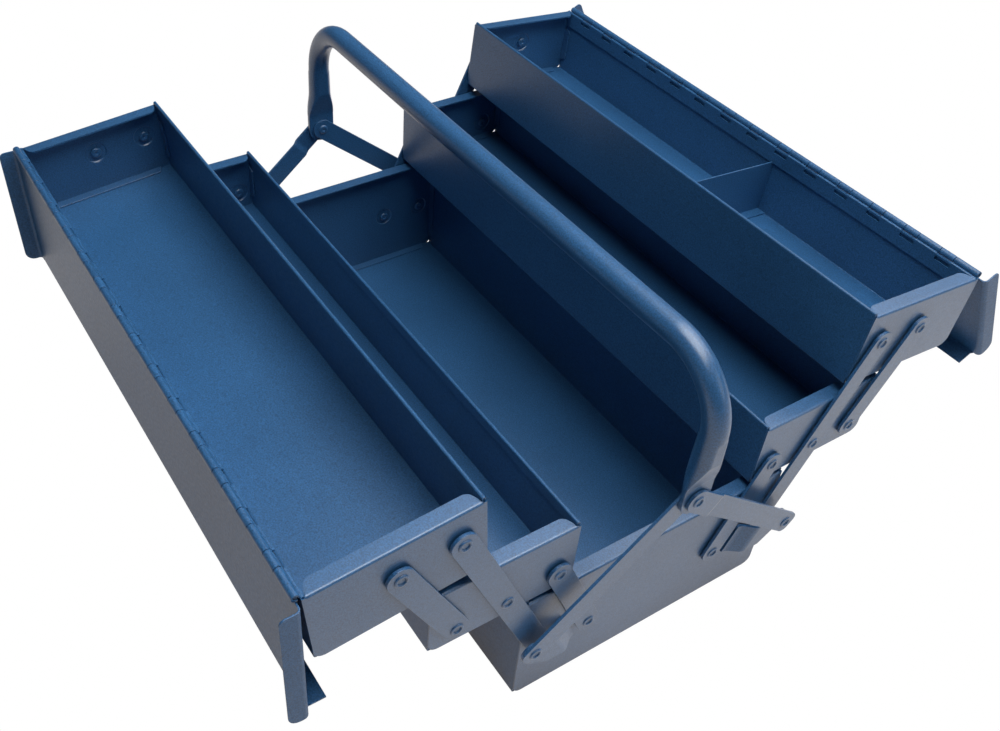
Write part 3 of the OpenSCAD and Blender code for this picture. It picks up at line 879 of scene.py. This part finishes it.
def hinged_pan(name):
    """The top tray's channel: a hem on the inner wall, a doubled strip with slots on the outer."""
    sizes, lids = bpy.context.scene.box_sheet, bpy.context.scene.box_lids
    width, height = tray_size("top")
    hem, deep, top = sizes.hem_width, sizes.hem_depth, height + sizes.hem_rise
    fold, strip_end = width - hem, height - sizes.strip
    path = [(hem, top - deep), (hem, top), (0, top), (0, 0),
            (width, 0), (width, height), (fold, height), (fold, strip_end)]
    piece = bent(name, path, -HALF, HALF)
    fold_at(piece, path, (1, 2), hem / 2 - TINY, segments=5)
    fold_at(piece, path, (3, 4), sizes.fold)
    fold_at(piece, path, (5, 6), hem / 3, segments=3)

    room = lids.knuckle / 2 + sizes.slip
    level = hinge_axis()[1] - lids.notch * lids.knuckle_radius
    cut_across(piece, "z", level)
    cut_openings(piece, lambda m, f: m.y > fold - TINY and m.z > level, room)

    low, high = height - lids.slot_low, height - lids.slot_high
    for z in (low, high):
        cut_across(piece, "z", z, lambda m, f: near(m.y, fold) and m.z > strip_end)
    cut_openings(piece, lambda m, f: near(m.y, fold) and low < m.z < high, lids.slot / 2)
    face_out(piece, (0, 0, -1))
    thicken(piece, sizes.gauge, sizes.edge)

    end, tab_start = HALF - sizes.slip, math.radians(200)
    stops = [-end, *(spot for m in knuckle_middles() for spot in (m - room, m + room)), end]
    curls = [curl(name + "_tab", first, last, tab_start)
             for first, last in zip(stops[::2], stops[1::2])]
    return joined(name, [piece, *curls])


def end_plate(name, width, height, strip, spots):
    """A near end plate: rounded lower corners, a mitred flange on top, weld flanges inside."""
    sizes = bpy.context.scene.box_sheet
    gauge, gap = sizes.end_gauge, sizes.hem_width + sizes.slip
    deep, middle, wide = sizes.flange, width / 2, width - 2 * gap
    inner, free = END_X - gauge, END_X - deep
    shoulder = inner - deep / 4
    free_corner, shoulder_corner = 0.3 * deep, 0.2 * deep
    piece = start_edge(name, (END_X, 0, 0), (END_X, width, 0))
    pull((0, 0, height))
    round_corners(piece, lambda m, v: near(m.z, 0), sizes.corner, segments=8)
    for y in (gap, width - gap):
        cut_across(piece, "y", y)
    choose(piece, "EDGE", lambda m, e: near(m.z, height) and near(m.y, middle))
    pull((shoulder - END_X, 0, 0))
    pull((free - shoulder, 0, 0))
    choose(piece, "EDGE", lambda m, e: near(m.x, free) and near(m.y, middle))
    bpy.ops.transform.resize(value=(1, (wide - sizes.mitre * deep) / wide, 1))
    for x, radius in ((free, free_corner), (shoulder, shoulder_corner)):
        round_corners(piece, lambda m, v: near(m.z, height) and near(m.x, x), radius, segments=4)
    round_folds(piece, lambda m, e: near(m.z, height) and near(m.x, END_X) and near(m.y, middle),
                sizes.fold)
    face_out(piece, (1, 0, 0))
    add_wall(piece, gauge)
    dish(piece, spots, inner)
    break_edges(piece, sizes.edge)

    land, clear, thick = sizes.corner + 2 * MM, 3 * MM, sizes.gauge
    edge, floor = inner - sizes.weld_flange, thick + sizes.slip / 4
    parts = [piece]
    for low, high in (
            ((edge, land, floor), (inner, width - land, floor + thick)),
            ((edge, floor, land), (inner, floor + thick, height - sizes.hem_depth - clear)),
            ((edge, width - floor - thick, land), (inner, width - floor, height - strip - clear))):
        parts.append(weld_flange(name + "_weld", Vector(low), Vector(high)))
    return joined(name, parts)


def dish(piece, spots, face):
    """Presses a shallow round dish round each pivot into the inner face of an end plate."""
    sizes = bpy.context.scene.box_sheet
    wide, deep = sizes.dish, sizes.dish_depth
    for y, z in spots:
        lay_down()
        bpy.ops.mesh.primitive_cone_add(
            vertices=48, radius1=wide + deep, radius2=wide - deep, depth=2 * deep,
            location=(face, y, z), rotation=(0, math.pi / 2, 0))
        cutter = bpy.context.object
        settle(cutter)
        worked(piece, "BOOLEAN", operation="DIFFERENCE", object=cutter)
        bpy.data.objects.remove(cutter)


def weld_flange(name, low, high):
    """A thin flange between two corners, its free end narrowed by small slopes."""
    lay_down()
    span, slopes, soft = high - low, 6 * MM, 0.3 * MM
    bpy.ops.mesh.primitive_cube_add(size=1, location=(low + high) / 2, scale=span)
    flange = named(name)
    settle(flange)
    bpy.ops.object.mode_set(mode="EDIT")
    choose(flange, "FACE", lambda m, f: near(m.x, low.x))
    narrow = [1, 1, 1]
    longest = 1 if span.y > span.z else 2
    narrow[longest] = 1 - slopes / span[longest]
    bpy.ops.transform.resize(value=narrow)
    choose(flange, "EDGE", lambda m, e: near(m.x, low.x))
    bpy.ops.mesh.bevel(offset=soft, segments=2, affect="EDGES")
    bpy.ops.object.mode_set(mode="OBJECT")
    smooth(flange)
    return flange


def tray_pieces(tray, pivots):
    """Builds one kind of tray in its own frame and puts pan and end plates in the box."""
    sizes, placement, stem = bpy.context.scene.box_sheet, tray_place(tray), on_tray("right", tray)[1]
    width, height = tray_size(tray)
    if tray == "top":
        pan, strip = hinged_pan(stem + "_tray"), sizes.strip
    else:
        pan, strip = hemmed_pan(stem + "_tray", width, height), sizes.hem_depth
    near_end = end_plate(stem + "_end_plate_near", width, height, strip, in_tray(tray, pivots))
    put(pan, placement)
    put(near_end, placement)
    far_end = copied(near_end, stem + "_end_plate_far", "x")
    return pan, near_end, far_end


def finish_tray(group, side, tray):
    """Paints the pan and the end plates of a tray and lets them ride on its body."""
    skins, (body, stem) = paints(), on_tray(side, tray)
    for piece, skin, node in zip(group, ("tray", "plate", "plate"), ("pan", "end_near", "end_far")):
        finished(piece, skins[skin], body, [f"{stem}_{node}"])


def tray_pair(tray):
    """Right-hand tray pieces, and their mirrored copies on the left."""
    spots = pivot_spots()
    right = tray_pieces(tray, [spots[key] for key in LEVER_PIVOTS[tray]])
    left = [copied(piece, piece.name.replace("right", "left"), "y") for piece in right]
    finish_tray(right, "right", tray)
    finish_tray(left, "left", tray)


class TOOLBOX_OT_base_tray(Operator):
    """The deep base tray: hemmed channel and two end plates"""

    bl_idname = "toolbox.base_tray"
    bl_label = "Base tray"

    def execute(self, context):
        spots = pivot_spots()
        pivots = [(side * spots[key].x, spots[key].y)
                  for side in (-1, 1) for key in LEVER_PIVOTS["base"]]
        finish_tray(tray_pieces("base", pivots), "right", "base")
        return {"FINISHED"}


class TOOLBOX_OT_middle_trays(Operator):
    """The two shallow middle trays"""

    bl_idname = "toolbox.middle_trays"
    bl_label = "Middle trays"

    def execute(self, context):
        tray_pair("mid")
        return {"FINISHED"}


class TOOLBOX_OT_top_trays(Operator):
    """The two top trays with slotted, doubled hinge walls"""

    bl_idname = "toolbox.top_trays"
    bl_label = "Top trays"

    def execute(self, context):
        tray_pair("top")
        return {"FINISHED"}


class TOOLBOX_OT_divider(Operator):
    """The cross wall of the right top tray, with its welded foot"""

    bl_idname = "toolbox.divider"
    bl_label = "Divider"

    def execute(self, context):
        wall = dressed("right_top_divider", "right_top_divider_wall",
                       context.scene.box_sheet.divider_edge)
        finished(wall, paints()["tray"], "right_top_tray", ["right_top_divider"])
        return {"FINISHED"}


# ---------------------------------------------------------------- lids


def lid_sheet(name):
    """A right-hand lid drawn closed in the top tray's own frame."""
    sizes, lids = bpy.context.scene.box_sheet, bpy.context.scene.box_lids
    top = sizes.top_height + sizes.slip + sizes.gauge
    free = lids.setback + sizes.gauge
    back = sizes.top_width - sizes.gauge - sizes.slip
    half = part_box("right_lid")[1][0] + lids.overhang
    lip_end = HALF - 2 * sizes.slip
    low = top - lids.skirt
    front_corner, back_corner = 0.6 * lids.skirt, 0.3 * lids.skirt
    piece = start_edge(name, (-half, free, top), (half, free, top))
    pull((0, back - free, 0))
    for x in (-lip_end, lip_end):
        cut_across(piece, "x", x)
    choose(piece, "EDGE", lambda m, e: near(m.y, free) and near(m.x, 0))
    pull((0, 0, lids.lip))
    for side in (-1, 1):
        choose(piece, "EDGE", lambda m, e: near(m.x, side * half))
        pull((0, 0, -lids.skirt))
        for y, radius in ((free, front_corner), (back, back_corner)):
            round_corners(piece, lambda m, v: (near(m.z, low) and near(m.y, y)
                                               and near(m.x, side * half)), radius, segments=8)
        round_folds(piece, lambda m, e: near(m.x, side * half) and near(m.z, top),
                    lids.skirt_fold, segments=6)
    round_folds(piece, lambda m, e: near(m.y, free) and near(m.z, top) and near(m.x, 0), sizes.fold)
    face_out(piece, (0, 0, 1))
    thicken(piece, sizes.gauge, sizes.edge)
    axis = hinge_axis()
    rise = math.asin((top - axis[1]) / lids.knuckle_radius)
    root = (back - sizes.gauge, top - TINY)
    curls = [curl(name + "_knuckle", m - lids.knuckle / 2, m + lids.knuckle / 2, math.pi - rise, [root])
             for m in knuckle_middles()]
    return joined(name, [piece, *curls])


def hung_lid(side):
    """A lid turned open about its hinge and put in the box on its side."""
    piece = lid_sheet(f"{side}_lid_sheet")
    axis = Vector((0, *hinge_axis()))
    put(piece, (tray_place("top") @ Matrix.Translation(axis)
                @ turned(-SWINGS[f"{side}_lid_hinge"]) @ Matrix.Translation(-axis)))
    if side == "left":
        flip(piece, "y")
    return piece


class TOOLBOX_OT_lids(Operator):
    """The two lids with their lips, end skirts and rolled knuckles, and the hinge wires"""

    bl_idname = "toolbox.lids"
    bl_label = "Lids and hinge wires"

    def execute(self, context):
        skins, lids = paints(), context.scene.box_lids
        end = HALF - 2 * context.scene.box_sheet.slip
        for side in ("right", "left"):
            finished(hung_lid(side), skins["lid"], f"{side}_lid", [f"{side}_lid"])
        wire = rod("right_wire", hinge_axis(), lids.wire, -end, end, lids.wire_edge)
        put(wire, tray_place("top"))
        for side, piece in (("left", copied(wire, "left_wire", "y")), ("right", wire)):
            finished(piece, skins["wire"], f"{side}_top_tray", [f"{side}_hinge_wire"])
        return {"FINISHED"}


# ---------------------------------------------------------------- levers and arms


def bar(name, first, last, slab, blunt=None, crank=None):
    """A flat bar with round ends between two pivots; slab is its x range. Blunt is a smaller corner
    radius for its first end. A crank, given as the start and the end of its slope, measured from
    first, and its shift, moves the bar's last stretch along x."""
    bars = bpy.context.scene.box_bars
    reach = (last - first).length
    lay_down()
    bpy.ops.mesh.primitive_cube_add(size=1, location=((slab[0] + slab[1]) / 2, reach / 2, 0),
                                    scale=(slab[1] - slab[0], reach + bars.width, bars.width))
    piece = named(name)
    settle(piece)
    bpy.ops.object.mode_set(mode="EDIT")
    for end, radius in ((-1, blunt), (1, None)):
        choose(piece, "EDGE", lambda m, e: (not near(e.verts[0].co.x, e.verts[1].co.x)
                                            and m.y * end > reach * (end + 1) / 2))
        bpy.ops.mesh.bevel(offset=radius or bars.width / 2 - TINY, segments=12, affect="EDGES")
    if crank:
        for y in crank[:2]:
            cut_across(piece, "y", y)
        choose(piece, "VERT", lambda m, v: m.y > crank[1] - TINY)
        bpy.ops.transform.translate(value=(crank[2], 0, 0))
        for y in crank[:2]:
            round_folds(piece, lambda m, e: near(m.y, y) and near(m.z, 0), bars.crease, segments=3)
    bpy.ops.object.mode_set(mode="OBJECT")
    break_edges(piece, bars.edge, segments=3, degrees=30)
    way = last - first
    put(piece, Matrix.Translation((0, *first)) @ turned(math.atan2(way.y, way.x)))
    return piece


def crank_foot(name, low, high):
    """The sheet foot of a long lever: it leaves the lever behind the base pivot, slopes out from
    x low to x high and runs to the arm's pivot, where it ends round."""
    bars, spots = bpy.context.scene.box_bars, pivot_spots()
    base, boss = spots["base"], spots["arm"] + Vector((0, -bars.boss_drop))
    along, along_lever = (boss - base).normalized(), (spots["top"] - base).normalized()
    across = Vector((-along.y, along.x)) * bars.boss
    under, over, rise = bars.foot_low, bars.foot_high, (boss + across).y - base.y
    lean = (over + under) * along_lever.x / along_lever.y
    free, flat, bend = -bars.foot_back, bars.slope_tab - bars.foot_back, -bars.slope_end
    corners = [(low, base + Vector(spot)) for y in (free, flat)
               for spot in ((y, -under), (y + lean, over))]
    corners += [(high, base + Vector(spot)) for spot in (
        (bend, -under), (bend + lean, bars.slope_top * over), (0, -under), (0, bars.waist * rise))]
    corners += [(high, boss + side + along * reach)
                for reach in (0, bars.boss) for side in (-across, across)]
    points = [Vector((x, *spot)) for x, spot in corners]
    lows, highs = points[::2], points[1::2]
    piece = start_edge(name, lows[0], highs[0])
    for old_low, old_high, new_low, new_high in zip(lows, highs, lows[1:], highs[1:]):
        choose(piece, "EDGE", lambda m, e: (m - (old_low + old_high) / 2).length < TINY)
        pull(new_low - old_low)
        moved = old_high + new_low - old_low
        choose(piece, "VERT", lambda m, v: (m - moved).length < TINY)
        bpy.ops.transform.translate(value=new_high - moved)
    for corner in points[-2:]:
        round_corners(piece, lambda m, v: (m - corner).length < TINY, ROUND_END * bars.boss,
                      segments=8)
    for column in (1, 2):
        crease = (lows[column] + highs[column]) / 2
        round_folds(piece, lambda m, e: (m - crease).length < TINY, bars.crease_radius, segments=5)
    face_out(piece, (1, 0, 0))
    thicken(piece, bars.gauge, bars.edge, segments=3)
    return piece


def four(piece, skin, kind):
    """A right near piece with its copies at the other three places."""
    for side, end, axes in (("right", "far", "x"), ("left", "near", "y"), ("left", "far", "xy")):
        copy = copied(piece, piece.name.replace("right", side).replace("near", end), axes)
        finished(copy, skin, f"{side}_{kind}s", [f"{side}_{kind}_{end}"])
    finished(piece, skin, f"right_{kind}s", [f"right_{kind}_near"])


class TOOLBOX_OT_short_levers(Operator):
    """The lower and upper short levers"""

    bl_idname = "toolbox.short_levers"
    bl_label = "Short levers"

    def execute(self, context):
        spots, skin = pivot_spots(), paints()["lever"]
        slab = node_slab("right_lower_lever_near")
        four(bar("right_lower_link_near", spots["base_in"], spots["mid_in"], slab), skin, "lower_lever")
        four(bar("right_upper_link_near", spots["mid_out"], spots["top_out"], slab), skin, "upper_lever")
        return {"FINISHED"}


class TOOLBOX_OT_long_levers(Operator):
    """The long levers with their cranked feet"""

    bl_idname = "toolbox.long_levers"
    bl_label = "Long levers"

    def execute(self, context):
        spots = pivot_spots()
        slab, skin = node_slab("right_lower_lever_near"), paints()["lever"]
        strip = bar("right_long_link_near", spots["base"], spots["top"], slab)
        foot = crank_foot("foot", slab[1], node_slab("right_long_lever_near")[1])
        four(joined("right_long_link_near", [strip, foot]), skin, "long_lever")
        return {"FINISHED"}


class TOOLBOX_OT_arms(Operator):
    """The handle arms: straight ones inside the handle ends, joggled ones outside"""

    bl_idname = "toolbox.arms"
    bl_label = "Handle arms"

    def execute(self, context):
        spots, skin, bars = pivot_spots(), paints()["lever"], context.scene.box_bars
        reach = (spots["hub"] - spots["arm"]).length
        low, high = node_slab("right_arm_near")
        thick = node_span("left_arm_near", 0)
        crank = (reach - bars.crank_from, reach - bars.crank_to, high - low - thick)
        outer = bar("right_arm_near_bar", spots["arm"], spots["hub"], (low, low + thick),
                    bars.blunt, crank)
        inner = bar("left_arm_near_bar", spots["arm"], spots["hub"], node_slab("left_arm_near"),
                    bars.blunt)
        flip(inner, "y")
        finished(copied(outer, "left_arm_far_bar", "xy"), skin, "left_arms", ["left_arm_far"])
        finished(copied(inner, "right_arm_far_bar", "xy"), skin, "right_arms", ["right_arm_far"])
        finished(outer, skin, "right_arms", ["right_arm_near"])
        finished(inner, skin, "left_arms", ["left_arm_near"])
        return {"FINISHED"}


# ---------------------------------------------------------------- handle


def leg_rings(hub_z):
    """The rings of a handle leg from its bend down to its foot, each as its height and its half
    width and half thickness."""
    grip = bpy.context.scene.box_grip
    round_z, flat_z = hub_z + grip.round_from, hub_z + grip.flat_to
    radius, foot, sheet = grip.tube / 2, grip.flat_width / 2, grip.flat_thick / 2
    wide, thin = radius * (1 + grip.oval), radius * (1 - grip.oval)
    rings = [(round_z + 2 * radius, radius * (1 + grip.oval / 2), radius * (1 - grip.oval / 2)),
             (round_z, wide, thin)]
    steps, eased = 12, 0.35
    for part in (k / steps for k in range(1, steps + 1)):
        ease = part * part * (3 - 2 * part)
        press = eased * ease + (1 - eased) * part
        rings.append((round_z + (flat_z - round_z) * part, wide + (foot - wide) * ease,
                      thin * (1 - press) + sheet * press))
    angles = [math.radians(degrees) for degrees in range(0, 90, 9)]
    return rings + [(hub_z - foot * math.sin(a), foot * math.cos(a), sheet) for a in angles]


class TOOLBOX_OT_handle(Operator):
    """The bent handle tube with its pressed flat ends"""

    bl_idname = "toolbox.handle"
    bl_label = "Handle"

    def execute(self, context):
        grip, high = context.scene.box_grip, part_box("handle_tube")[1]
        radius = grip.tube / 2
        leg, bar_z = high[0] - radius, high[2] - radius
        lay_down()
        bpy.ops.mesh.primitive_circle_add(vertices=64, radius=radius, fill_type="NOTHING",
                                          location=(0, 0, bar_z), rotation=(0, math.pi / 2, 0))
        piece = named("grip_tube")
        settle(piece)
        bpy.ops.object.mode_set(mode="EDIT")
        choose_all()
        pull((leg - grip.bend, 0, 0))
        bpy.ops.mesh.spin(steps=16, angle=-math.pi / 2, center=(leg - grip.bend, 0, bar_z - grip.bend),
                          axis=(0, 1, 0))
        rings = leg_rings(PIVOTS["handle_tilt"].z)
        height, size = bar_z - grip.bend, radius
        for z, half_width, half_thick in rings:
            pull((0, 0, z - height))
            grow = half_width / size
            bpy.ops.transform.resize(value=(grow, grow, 1), center_override=(leg, 0, z))
            height, size = z, half_width
        bpy.ops.mesh.edge_face_add()
        for z, half_width, half_thick in rings:
            for side in (-1, 1):
                level = leg + side * half_thick
                if choose(piece, "VERT", lambda m, v: near(m.z, z, 2 * FINE) and (m.x - level) * side > 0
                          and abs(m.x - leg) < 2 * radius):
                    bpy.ops.transform.resize(value=(0, 1, 1), center_override=(level, 0, z))
        bpy.ops.object.mode_set(mode="OBJECT")
        joined("grip_tube", [piece, copied(piece, "grip_half", "x")])
        bpy.ops.object.mode_set(mode="EDIT")
        weld_doubles(TINY)
        bpy.ops.object.mode_set(mode="OBJECT")
        smooth(piece, degrees=40)
        finished(piece, paints()["tube"], "handle", ["handle_tube"])
        return {"FINISHED"}


# ---------------------------------------------------------------- rivets, washers and spacers


# Profile of a rivet: each point's x as a share of the pit's depth, the head's height or the tail's
# height, and its radius as a share of the hollow's or the head's radius
HOLLOW = 0.5
PIT_PROFILE = ((-1.0, 0.0), (-1.0, 0.8), (-0.2, 1.0))
RIM_PROFILE = ((0.6, 1.15), (1.0, 1.38))
HEAD_PROFILE = ((0.95, 0.82), (0.7, 0.92), (0.35, 0.98), (0.0, 1.0))
TAIL_PROFILE = ((0.0, 0.9), (0.35, 0.9), (0.75, 0.8), (0.97, 0.62), (1.0, 0.46), (0.8, 0.26),
                (0.45, 0.14), (0.4, 0.0))
# Turn of each rivet against the one before it, in radians
TURN = 2.4


def turned_profile(name, points):
    """Spins (x, radius) points round the x axis."""
    piece = start_edge(name, (points[0][0], 0, points[0][1]), (points[1][0], 0, points[1][1]))
    for here, there in zip(points[1:], points[2:]):
        choose(piece, "VERT", lambda m, v: near(m.x, here[0], FINE) and near(m.z, here[1], FINE))
        pull((there[0] - here[0], 0, there[1] - here[1]))
    choose_all()
    bpy.ops.mesh.spin(steps=36, angle=2 * math.pi, center=(0, 0, 0), axis=(1, 0, 0))
    weld_doubles(2 * FINE)
    return piece


def rivet():
    """One tubular rivet: its crimped head starts at x 0, its domed tail lies at x below 0."""
    pins = bpy.context.scene.box_rivets
    head, high, end, hollow = pins.head, pins.height, -pins.reach, HOLLOW * pins.head
    points = [(x * pins.pit, r * hollow) for x, r in PIT_PROFILE]
    points += [(x * high, r * hollow) for x, r in RIM_PROFILE]
    points += [(x * high, r * head) for x, r in HEAD_PROFILE]
    points += [(-0.01 * high, pins.shank), (end, pins.shank)]
    points += [(end - x * pins.tail, r * head) for x, r in TAIL_PROFILE]
    piece = turned_profile("rivet", points)
    # Only the wall and the rim of the hollow are crimped
    choose(piece, "VERT", lambda m, v: (m.x > -1.1 * pins.pit
                                        and 0.3 * hollow < m.yz.length < 1.25 * hollow))
    bpy.ops.transform.vertex_random(offset=pins.crimp, uniform=0.6, normal=0.0, seed=4)
    bpy.ops.object.mode_set(mode="OBJECT")
    smooth(piece, degrees=50)
    return piece


def driven(master, spot, inner, outer, turn):
    """A copy of the rivet whose grip runs from x inner to x outer at a (y, z) spot."""
    copy = copied(master, "rivet_copy")
    bpy.ops.object.mode_set(mode="EDIT")
    reach = bpy.context.scene.box_rivets.reach
    choose(copy, "VERT", lambda m, v: m.x < -reach / 2)
    bpy.ops.transform.translate(value=(reach - (outer - inner), 0, 0))
    bpy.ops.object.mode_set(mode="OBJECT")
    put(copy, Matrix.Translation((outer, *spot)) @ turned(turn))
    return copy


class TOOLBOX_OT_rivets(Operator):
    """All rivets: one is turned and crimped, the others are its copies"""

    bl_idname = "toolbox.rivets"
    bl_label = "Rivets"

    def execute(self, context):
        spots, skin, sheet = pivot_spots(), paints()["rivet"], context.scene.box_sheet
        master = rivet()
        loose = 0.05 * MM
        arm_thick, inner_arm = node_span("left_arm_near", 0), node_slab("left_arm_near")
        arm_low, arm_high = node_slab("right_arm_near")
        plate = (END_X - sheet.end_gauge - loose, node_slab("right_lower_lever_near")[1] + loose)
        foot = node_slab("right_long_lever_near")[1] - arm_thick - loose
        outer_grip, inner_grip = (foot, arm_low + arm_thick + loose), (foot, inner_arm[1] + loose)
        hub = (inner_arm[0] - loose, arm_high + loose)
        turn = 0.0
        for tray, keys in LEVER_PIVOTS.items():
            for side in ("right", "left"):
                group = []
                for key in keys:
                    for axes in ("", "x"):
                        turn += TURN
                        group.append(driven(master, spots[key], *plate, turn))
                        flip(group[-1], axes)
                if side == "left":
                    for piece in group:
                        flip(piece, "y")
                body, stem = on_tray(side, tray)
                finished(joined(f"{side}_{tray}_rivet_set", group), skin, body, [f"{stem}_rivets"])
        for side, places, grips in (
                ("right", ("", "x"), (outer_grip, inner_grip)),
                ("left", ("y", "xy"), (inner_grip, outer_grip))):
            group = []
            for axes, grip in zip(places, grips):
                turn += TURN
                group.append(driven(master, spots["arm"], *grip, turn))
                flip(group[-1], axes)
            finished(joined(f"{side}_arm_rivet_set", group), skin, f"{side}_long_levers",
                     [f"{side}_arm_rivets"])
        group = [driven(master, spots["hub"], *hub, turn + more) for more in (1.0, 2.0)]
        flip(group[1], "xy")
        finished(joined("hub_rivet_set", group), skin, "right_arms", ["handle_rivets"])
        bpy.data.objects.remove(master)
        return {"FINISHED"}


class TOOLBOX_OT_washers(Operator):
    """The washers between end plates and levers, and the spacers of the joggled arms"""

    bl_idname = "toolbox.washers"
    bl_label = "Washers and spacers"

    def execute(self, context):
        spots, skin, bars = pivot_spots(), paints()["washer"], context.scene.box_bars
        outer = node_slab("base_washers")[1]
        for tray, keys in LEVER_PIVOTS.items():
            for side in ("right", "left"):
                group = []
                for key in keys:
                    for axes in ("", "x"):
                        group.append(rod("washer", spots[key], bars.washer, END_X, outer,
                                         bars.washer_edge))
                        flip(group[-1], axes + ("y" if side == "left" else ""))
                body, stem = on_tray(side, tray)
                finished(joined(f"{side}_{tray}_washer_set", group), skin, body, [f"{stem}_washers"])
        low, high = node_slab("right_arm_spacer")
        radius = node_span("right_arm_spacer", 1) / 2
        sleeve = rod("right_spacer_sleeve", spots["arm"], radius, low, high, bars.washer_edge)
        finished(copied(sleeve, "left_spacer_sleeve", "xy"), skin, "left_long_levers",
                 ["left_arm_spacer"])
        finished(sleeve, skin, "right_long_levers", ["right_arm_spacer"])
        return {"FINISHED"}


# ---------------------------------------------------------------- stage

# Place, size and property of each soft light; all look at the box's middle
LAMPS = {"overhead": ((0.2, 0.05, 1.3), 1.0, "key"), "back": ((0.0, 1.2, 1.6), 1.5, "back"),
         "side": ((1.5, 0.9, 0.8), 0.9, "side")}
MIDDLE = Vector((0.0, 0.0, 0.1))
# The camera's place and the directions to the right, down and ahead in its picture
CAMERA_SPOT = (0.480544, -0.350649, 0.612318)
CAMERA_RIGHT = (0.53458526, 0.8439151, 0.04501007)
CAMERA_DOWN = (0.59078253, -0.33509089, -0.73395511)
CAMERA_AHEAD = (-0.60431333, 0.41895274, -0.67770495)
CAMERA_SETTINGS = {"sensor_width": 36.0, "lens": 38.995, "shift_x": 0.0523, "shift_y": -0.00475,
                   "clip_start": 0.01, "clip_end": 50.0}


def floor_finish():
    """A pale floor that stands white under its shadow, and that the lacquer mirrors evenly."""
    look = bpy.context.scene.box_studio
    shade = bpy.data.materials.new("Studio floor")
    shade.use_nodes = True
    tree = shade.node_tree
    skin, out = tree.nodes["Principled BSDF"], tree.nodes["Material Output"]
    fill(skin, {"Base Color": (*look.floor, 1.0), "Roughness": 0.9, "Specular IOR Level": 0.1})
    glow = node_at(tree, "Emission", 0, -400, {"Strength": 1.0})
    rays = node_at(tree, "LightPath", -300, 400)
    sheen = node_at(tree, "Emission", 300, -400, {"Color": (*look.mirrored_floor, 1.0)})
    source = (skin, "BSDF")
    for x, ray, share, light in ((300, "Is Camera Ray", look.clear, glow),
                                 (600, "Is Glossy Ray", look.shine, sheen)):
        part = node_at(tree, "Math", x - 200, 300, {1: share}, operation="MULTIPLY")
        blend = node_at(tree, "MixShader", x, 200)
        wire_up(tree, (rays, ray, part, 0), (part, "Value", blend, "Fac"), (*source, blend, 1),
                (light, "Emission", blend, 2))
        source = (blend, "Shader")
    wire_up(tree, (*source, out, "Surface"))
    return shade


def surround():
    """A faint even light from all sides, white behind the box."""
    world = bpy.data.worlds.new("Studio")
    world.use_nodes = True
    tree = world.node_tree
    back = tree.nodes["Background"]
    fill(back, {"Color": (1, 1, 1, 1)})
    rays = node_at(tree, "LightPath", -500, 200)
    level = node_at(tree, "MapRange", -250, 200, {
        "To Min": bpy.context.scene.box_studio.sky, "To Max": 1.0})
    wire_up(tree, (rays, "Is Camera Ray", level, "Value"), (level, "Result", back, "Strength"))
    return world


class TOOLBOX_OT_stage(Operator):
    """Pale floor, soft studio lights and the camera"""

    bl_idname = "toolbox.stage"
    bl_label = "Stage"

    def execute(self, context):
        look = context.scene.box_studio
        lay_down()
        bpy.ops.mesh.primitive_plane_add(size=14, location=(0, 0, -0.6 * MM))
        floor = named("floor")
        bpy.ops.object.transform_apply(location=True)
        floor.data.materials.append(floor_finish())
        context.scene.world = surround()

        for name, (place, size, power) in LAMPS.items():
            bpy.ops.object.light_add(type="AREA", location=place)
            lamp = context.object
            lamp.name = name
            lamp.data.shape = "SQUARE"
            lamp.data.size = size
            lamp.data.energy = getattr(look, power)
            lamp.rotation_euler = (MIDDLE - Vector(place)).to_track_quat("-Z", "Y").to_euler()

        bpy.ops.object.camera_add()
        camera = context.object
        for key, value in CAMERA_SETTINGS.items():
            setattr(camera.data, key, value)
        camera.matrix_world = Matrix([
            (right, -down, -ahead, spot) for right, down, ahead, spot in zip(
                CAMERA_RIGHT, CAMERA_DOWN, CAMERA_AHEAD, CAMERA_SPOT)] + [(0, 0, 0, 1)])
        context.scene.camera = camera
        context.scene.view_settings.view_transform = "Standard"
        return {"FINISHED"}


# ---------------------------------------------------------------- add-on

STEPS = (
    TOOLBOX_OT_base_tray, TOOLBOX_OT_middle_trays, TOOLBOX_OT_top_trays, TOOLBOX_OT_divider,
    TOOLBOX_OT_lids, TOOLBOX_OT_short_levers, TOOLBOX_OT_long_levers, TOOLBOX_OT_arms,
    TOOLBOX_OT_handle, TOOLBOX_OT_rivets, TOOLBOX_OT_washers, TOOLBOX_OT_stage)
GROUPS = {"box_sheet": SheetSizes, "box_lids": LidSizes, "box_bars": BarSizes, "box_grip": GripSizes,
          "box_rivets": RivetSizes, "box_paint": PaintLook, "box_studio": StudioLook}


class TOOLBOX_PT_pieces(Panel):
    """Lists the sizes, the finishes and the steps that build the box"""

    bl_idname = "TOOLBOX_PT_pieces"
    bl_label = "Cantilever tool box"
    bl_space_type = "VIEW_3D"
    bl_region_type = "UI"
    bl_category = "Tool box"

    def draw(self, context):
        for group in GROUPS:
            values = getattr(context.scene, group)
            column = self.layout.column(align=True)
            for key in values.__annotations__:
                column.prop(values, key)
        for step in STEPS:
            self.layout.operator(step.bl_idname)


CLASSES = (*GROUPS.values(), *STEPS, TOOLBOX_PT_pieces)


def register():
    """Makes the sizes, the steps and the panel known."""
    for entry in CLASSES:
        bpy.utils.register_class(entry)
    for key, group in GROUPS.items():
        setattr(bpy.types.Scene, key, PointerProperty(type=group))


def unregister():
    """Takes them away again."""
    for key in GROUPS:
        delattr(bpy.types.Scene, key)
    for entry in reversed(CLASSES):
        bpy.utils.unregister_class(entry)


def main():
    """Builds the box step by step and keeps its sizes."""
    register()
    for step in STEPS:
        group, action = step.bl_idname.split(".")
        getattr(getattr(bpy.ops, group), action)()


if __name__ == "__main__":
    main()
